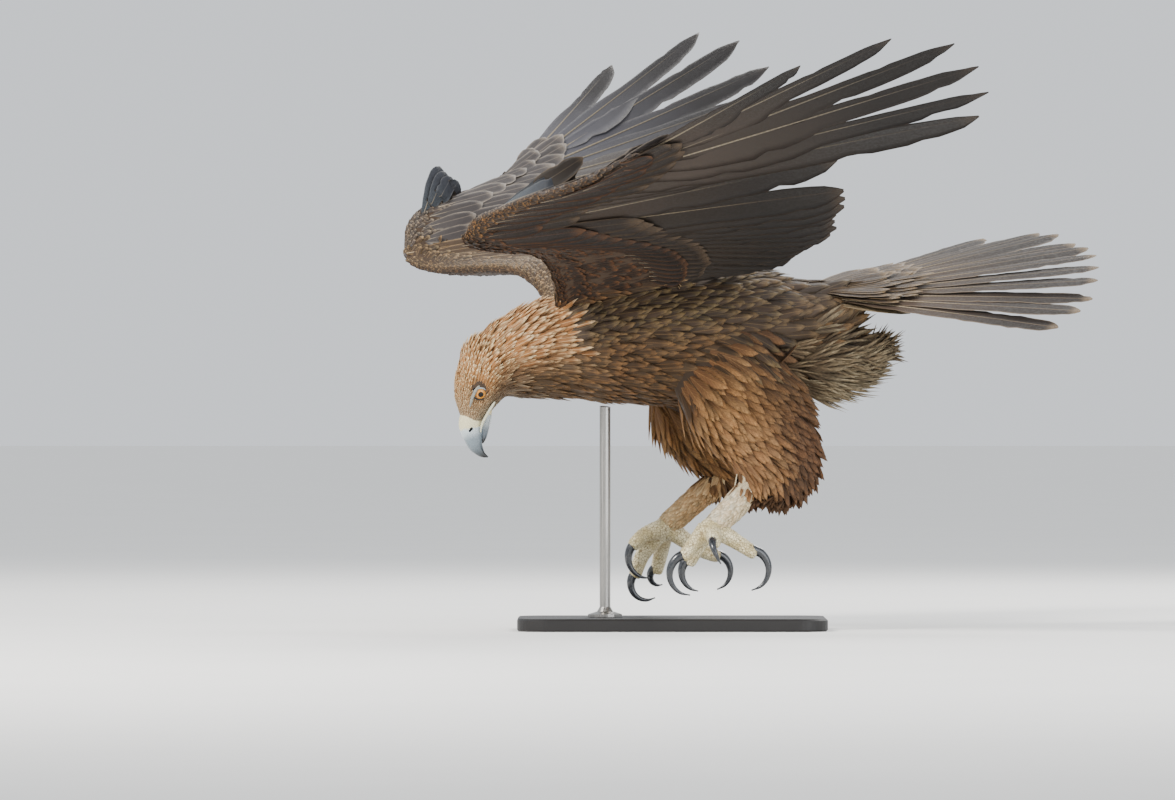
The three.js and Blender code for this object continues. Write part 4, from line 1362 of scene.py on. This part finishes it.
def eye(name, side):
    gaze = Vector(direction(mirrored([GAZE], side)[0])).normalized()
    centre = Vector(in_room(mirrored([EYE_CENTRE], side)[0]))
    turn = gaze.to_track_quat("Z", "Y").to_matrix().to_4x4()
    work = bmesh.new()
    bmesh.ops.create_uvsphere(work, u_segments=64, v_segments=48, radius=EYE_RADIUS / 1000)
    layer = work.verts.layers.float.new("off_axis")
    for vert in work.verts:
        angle = math.acos(max(-1, min(1, vert.co.normalized().z)))
        vert[layer] = angle
        if angle < CORNEA:
            vert.co *= 1 + 0.07 * (1 - (angle / CORNEA) ** 2)
    work.transform(Matrix.Translation(centre) @ turn)
    ball = finished(name + "_eye_glass", drawn("eye", work), "eye_amber", eye_glass)
    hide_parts("eye_" + name)
    # the lid: a soft ring, higher in front and behind than over and under the eye
    basis = turn.to_3x3()
    verts, faces, shades = [], [], []
    forward = Vector(direction([-0.25, 0, -0.968])).normalized()
    for i in range(LID_SECTIONS):
        angle = 2 * math.pi * i / LID_SECTIONS
        opening = 0.78 + 0.06 * math.cos(2 * angle)
        out = basis @ Vector((math.sin(opening) * math.cos(angle),
                              math.sin(opening) * math.sin(angle), math.cos(opening)))
        place = centre + out * (EYE_RADIUS + 0.35) / 1000
        run = basis @ Vector((-math.sin(angle), math.cos(angle), 0))
        sideways = out.cross(run).normalized()
        for j in range(LID_SIDES):
            angle = 2 * math.pi * j / LID_SIDES
            verts.append(place + out * LID_THICK * math.cos(angle)
                         + sideways * LID_WIDE * math.sin(angle))
            # how far each part of the lid faces the bill, which sets the painted shadow there
            shades.append((place - centre).normalized().dot(forward))
            k, n = (j + 1) % LID_SIDES, (i + 1) % LID_SECTIONS
            faces.append((i * LID_SIDES + j, i * LID_SIDES + k, n * LID_SIDES + k,
                          n * LID_SIDES + j))
    mesh = outward("lid", verts, faces)
    mesh.attributes.new("lid_shadow_toward_bill", "FLOAT", "POINT").data.foreach_set("value", shades)
    finished(name + "_eyelid", mesh, "bill_horn", lid_skin)
    limb_piece(name + "_brow", [limb_rings(mirrored(BROW, side), 18, 6)], brow_skin, "bill_horn")


for name, side in SIDES.items():
    eye(name, side)


# Feet: bare toes in thick wrinkled skin, ringed with scutes along their tops, and on each a long
# curved claw of black horn that grows from its end.
LEGS = {
    "left": {
        "palm": [[72, 91, -199, 10], [62, 93, -208, 13], [53, 93, -213, 9]],
        "toes": [
            ([[60, 87, -208], [50, 79, -228], [43, 76, -243]],
             [[40, 76, -240], [34, 76, -258], [52, 76, -275]]),
            ([[58, 94, -208], [43, 100, -224], [33, 102, -236]],
             [[33, 102, -234], [16, 102, -256], [39, 100, -279]]),
            ([[63, 97, -210], [63, 116, -216], [61, 128, -222]],
             [[61, 125, -220], [58, 143, -228], [66, 141, -244]]),
            ([[68, 92, -207], [93, 93, -222], [110, 94, -233]],
             [[108, 95, -229], [127, 95, -250], [108, 95, -274]]),
        ],
    },
    "right": {
        "palm": [[48, 75, -201, 10], [39, 75, -209, 13], [32, 75, -213, 9]],
        "toes": [
            ([[36, 70, -209], [16, 62, -215], [3, 60, -226]],
             [[5, 60, -223], [-3, 60, -244], [21, 60, -263]]),
            ([[35, 77, -212], [16, 80, -238], [8, 80, -259]],
             [[9, 80, -256], [6, 80, -280], [30, 80, -285]]),
            ([[41, 81, -211], [40, 100, -235], [36, 104, -255]],
             [[37, 104, -251], [31, 107, -268], [43, 109, -271]]),
            ([[45, 76, -209], [76, 76, -230], [98, 76, -239]],
             [[96, 76, -236], [114, 76, -255], [99, 76, -276]]),
        ],
    },
}
TOE_RADII = [10.5, 8.2, 7.0, 4.4]
CLAW_RADIUS = 5.2
SCUTE_PITCH = 4.2
foot_skin = Finish("foot_skin", "d9c88f", Roughness=0.5, Subsurface_Weight=0.1,
                   Subsurface_Radius=(0.004, 0.003, 0.002))
cells = foot_skin.add("TexVoronoi", {"feature": "DISTANCE_TO_EDGE"}, Vector=foot_skin.place(),
                      Scale=330.0).outputs["Distance"]
# the creases between the skin's cells are darkened: partly the skin's own darker folds, partly
# painted shade
crease_shade = foot_skin.ramp(cells, 0.0, 0.12)
blotch = foot_skin.noise(60, 4)
bare = foot_skin.blend(foot_skin.ramp(blotch, 0.35, 0.7), "c9b98a", "ece2bd")
foot_skin.colour(foot_skin.blend(crease_shade, "8f7d58", bare))
foot_skin.roughen(blotch, 0.4, 0.62)
foot_skin.bump(crease_shade, 0.8, 0.001)
claw_horn = Finish("claw_horn", "16171a", Roughness=0.22, Coat_Weight=0.5, Coat_Roughness=0.12)
claw_lines = claw_horn.noise(300)
claw_horn.colour(claw_horn.blend(claw_lines, "0d0e10", "33373d"))
claw_horn.roughen(claw_lines, 0.18, 0.34)
claw_horn.bump(claw_lines, 0.15, 0.0003)


def arc_rows(base, bulge, tip):
    """Sections of a claw along the arc of a circle through three points, ever thinner."""
    base, bulge, tip = (np.array(p, float) for p in (base, bulge, tip))
    u, v = bulge - base, tip - base
    normal = np.cross(u, v)
    centre = base + (np.cross(normal, u) * (v @ v) + np.cross(v, normal) * (u @ u)) \
        / (2 * normal @ normal)
    first = base - centre
    second = unit(np.cross(normal, first)) * np.linalg.norm(first)
    last = tip - centre
    sweep = math.atan2(last @ second, last @ first) % (2 * math.pi)
    rows = []
    for share in np.linspace(0, 1, 7):
        angle = sweep * share
        place = centre + first * math.cos(angle) + second * math.sin(angle)
        rows.append([*place, CLAW_RADIUS * (1 - share) ** 0.75 + 0.4])
    return rows


def toe_rings(bones, side):
    """A toe whose top is stepped by a scute every few millimetres."""
    end = np.array(bones[2]) + unit(np.array(bones[2]) - np.array(bones[1])) * 4
    bones = [*bones, end.tolist()]
    rows = smooth_rows([[*bone, radius] for bone, radius in zip(bones, TOE_RADII)], 2)
    rings = limb_rings(mirrored(rows.tolist(), side), 28, 14)
    centres = rings.mean(1)
    travel = np.concatenate([[0], np.cumsum(np.linalg.norm(np.diff(centres, axis=0), axis=1))])
    step = (travel / SCUTE_PITCH) % 1.0
    out = rings - centres[:, None]
    top = np.clip(unit(out)[..., 2] + 0.2, 0, 1)
    return centres[:, None] + out * (1 + 0.13 * (1 - step)[:, None] * top)[..., None]


for name, side in SIDES.items():
    leg = LEGS[name]
    toes = [toe_rings(bones, side) for bones, _ in leg["toes"]]
    mesh = fused([limb_rings(mirrored(leg["palm"], side), 28, 8), *toes], 0.0009, 2)
    foot = finished(name + "_foot_skin", mesh, "foot_skin", foot_skin)
    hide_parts(name + "_foot")
    claws = [limb_rings(mirrored(arc_rows(*points), side), 24, 12) for _, points in leg["toes"]]
    talons = limb_piece(name + "_talons", claws, claw_horn, "claw_horn")
    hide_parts(*[f"{name}_claw_{i + 1}" for i in range(4)])


# Floor, light and camera: a plain pale floor, one broad soft light from the upper left, a fill and
# a rim, and a level camera at the height and the side that the photograph was taken from.
FLOOR_REACHES = (0.01, 8, 40, 400)
FLOOR_TURNS = 64
work = bmesh.new()
angles = [2 * math.pi * k / FLOOR_TURNS for k in range(FLOOR_TURNS)]
rings = [[work.verts.new((reach * math.cos(angle), reach * math.sin(angle), 0))
          for angle in angles] for reach in FLOOR_REACHES]
for near, far in zip(rings, rings[1:]):
    for k in range(FLOOR_TURNS):
        n = (k + 1) % FLOOR_TURNS
        work.faces.new((near[k], far[k], far[n], near[n]))
work.faces.new(rings[0])
floor = linked("floor", drawn("floor", work))
paper = Finish("paper", "dcdad6", Roughness=0.9)
paper.colour(paper.blend(paper.noise(3), "f0efec", "f6f5f2"))
floor.data.materials.append(paper.material)

CENTRE = Vector((0.05, 0, 0.34))


def soft_light(name, place, size, watts, colour):
    light = bpy.data.lights.new(name, "AREA")
    light.shape, light.size, light.energy, light.color = "DISK", size, watts, colour
    lamp = linked(name, light)
    lamp.location = place
    lamp.rotation_euler = (CENTRE - Vector(place)).to_track_quat("-Z", "Y").to_euler()


soft_light("key", (-2.2, -2.4, 2.9), 1.3, 250, (1.0, 0.965, 0.92))
soft_light("fill", (2.6, -2.8, 1.0), 2.6, 75, (0.93, 0.96, 1.0))
soft_light("rim", (1.2, 2.6, 2.6), 1.8, 120, (1.0, 0.98, 0.95))
world = bpy.data.worlds.new("studio")
world.use_nodes = True
world.node_tree.nodes["Background"].inputs["Color"].default_value = paint("dfe3e8")
world.node_tree.nodes["Background"].inputs["Strength"].default_value = 1.25
scene.world = world

lens = bpy.data.cameras.new("camera")
lens.sensor_width, lens.lens = 36, 334.2
lens.clip_end = 60
camera = linked("camera", lens)
camera.location = (-0.09295, -12.0, 0.253)
camera.rotation_euler = (math.pi / 2, 0, 0)
scene.camera = camera
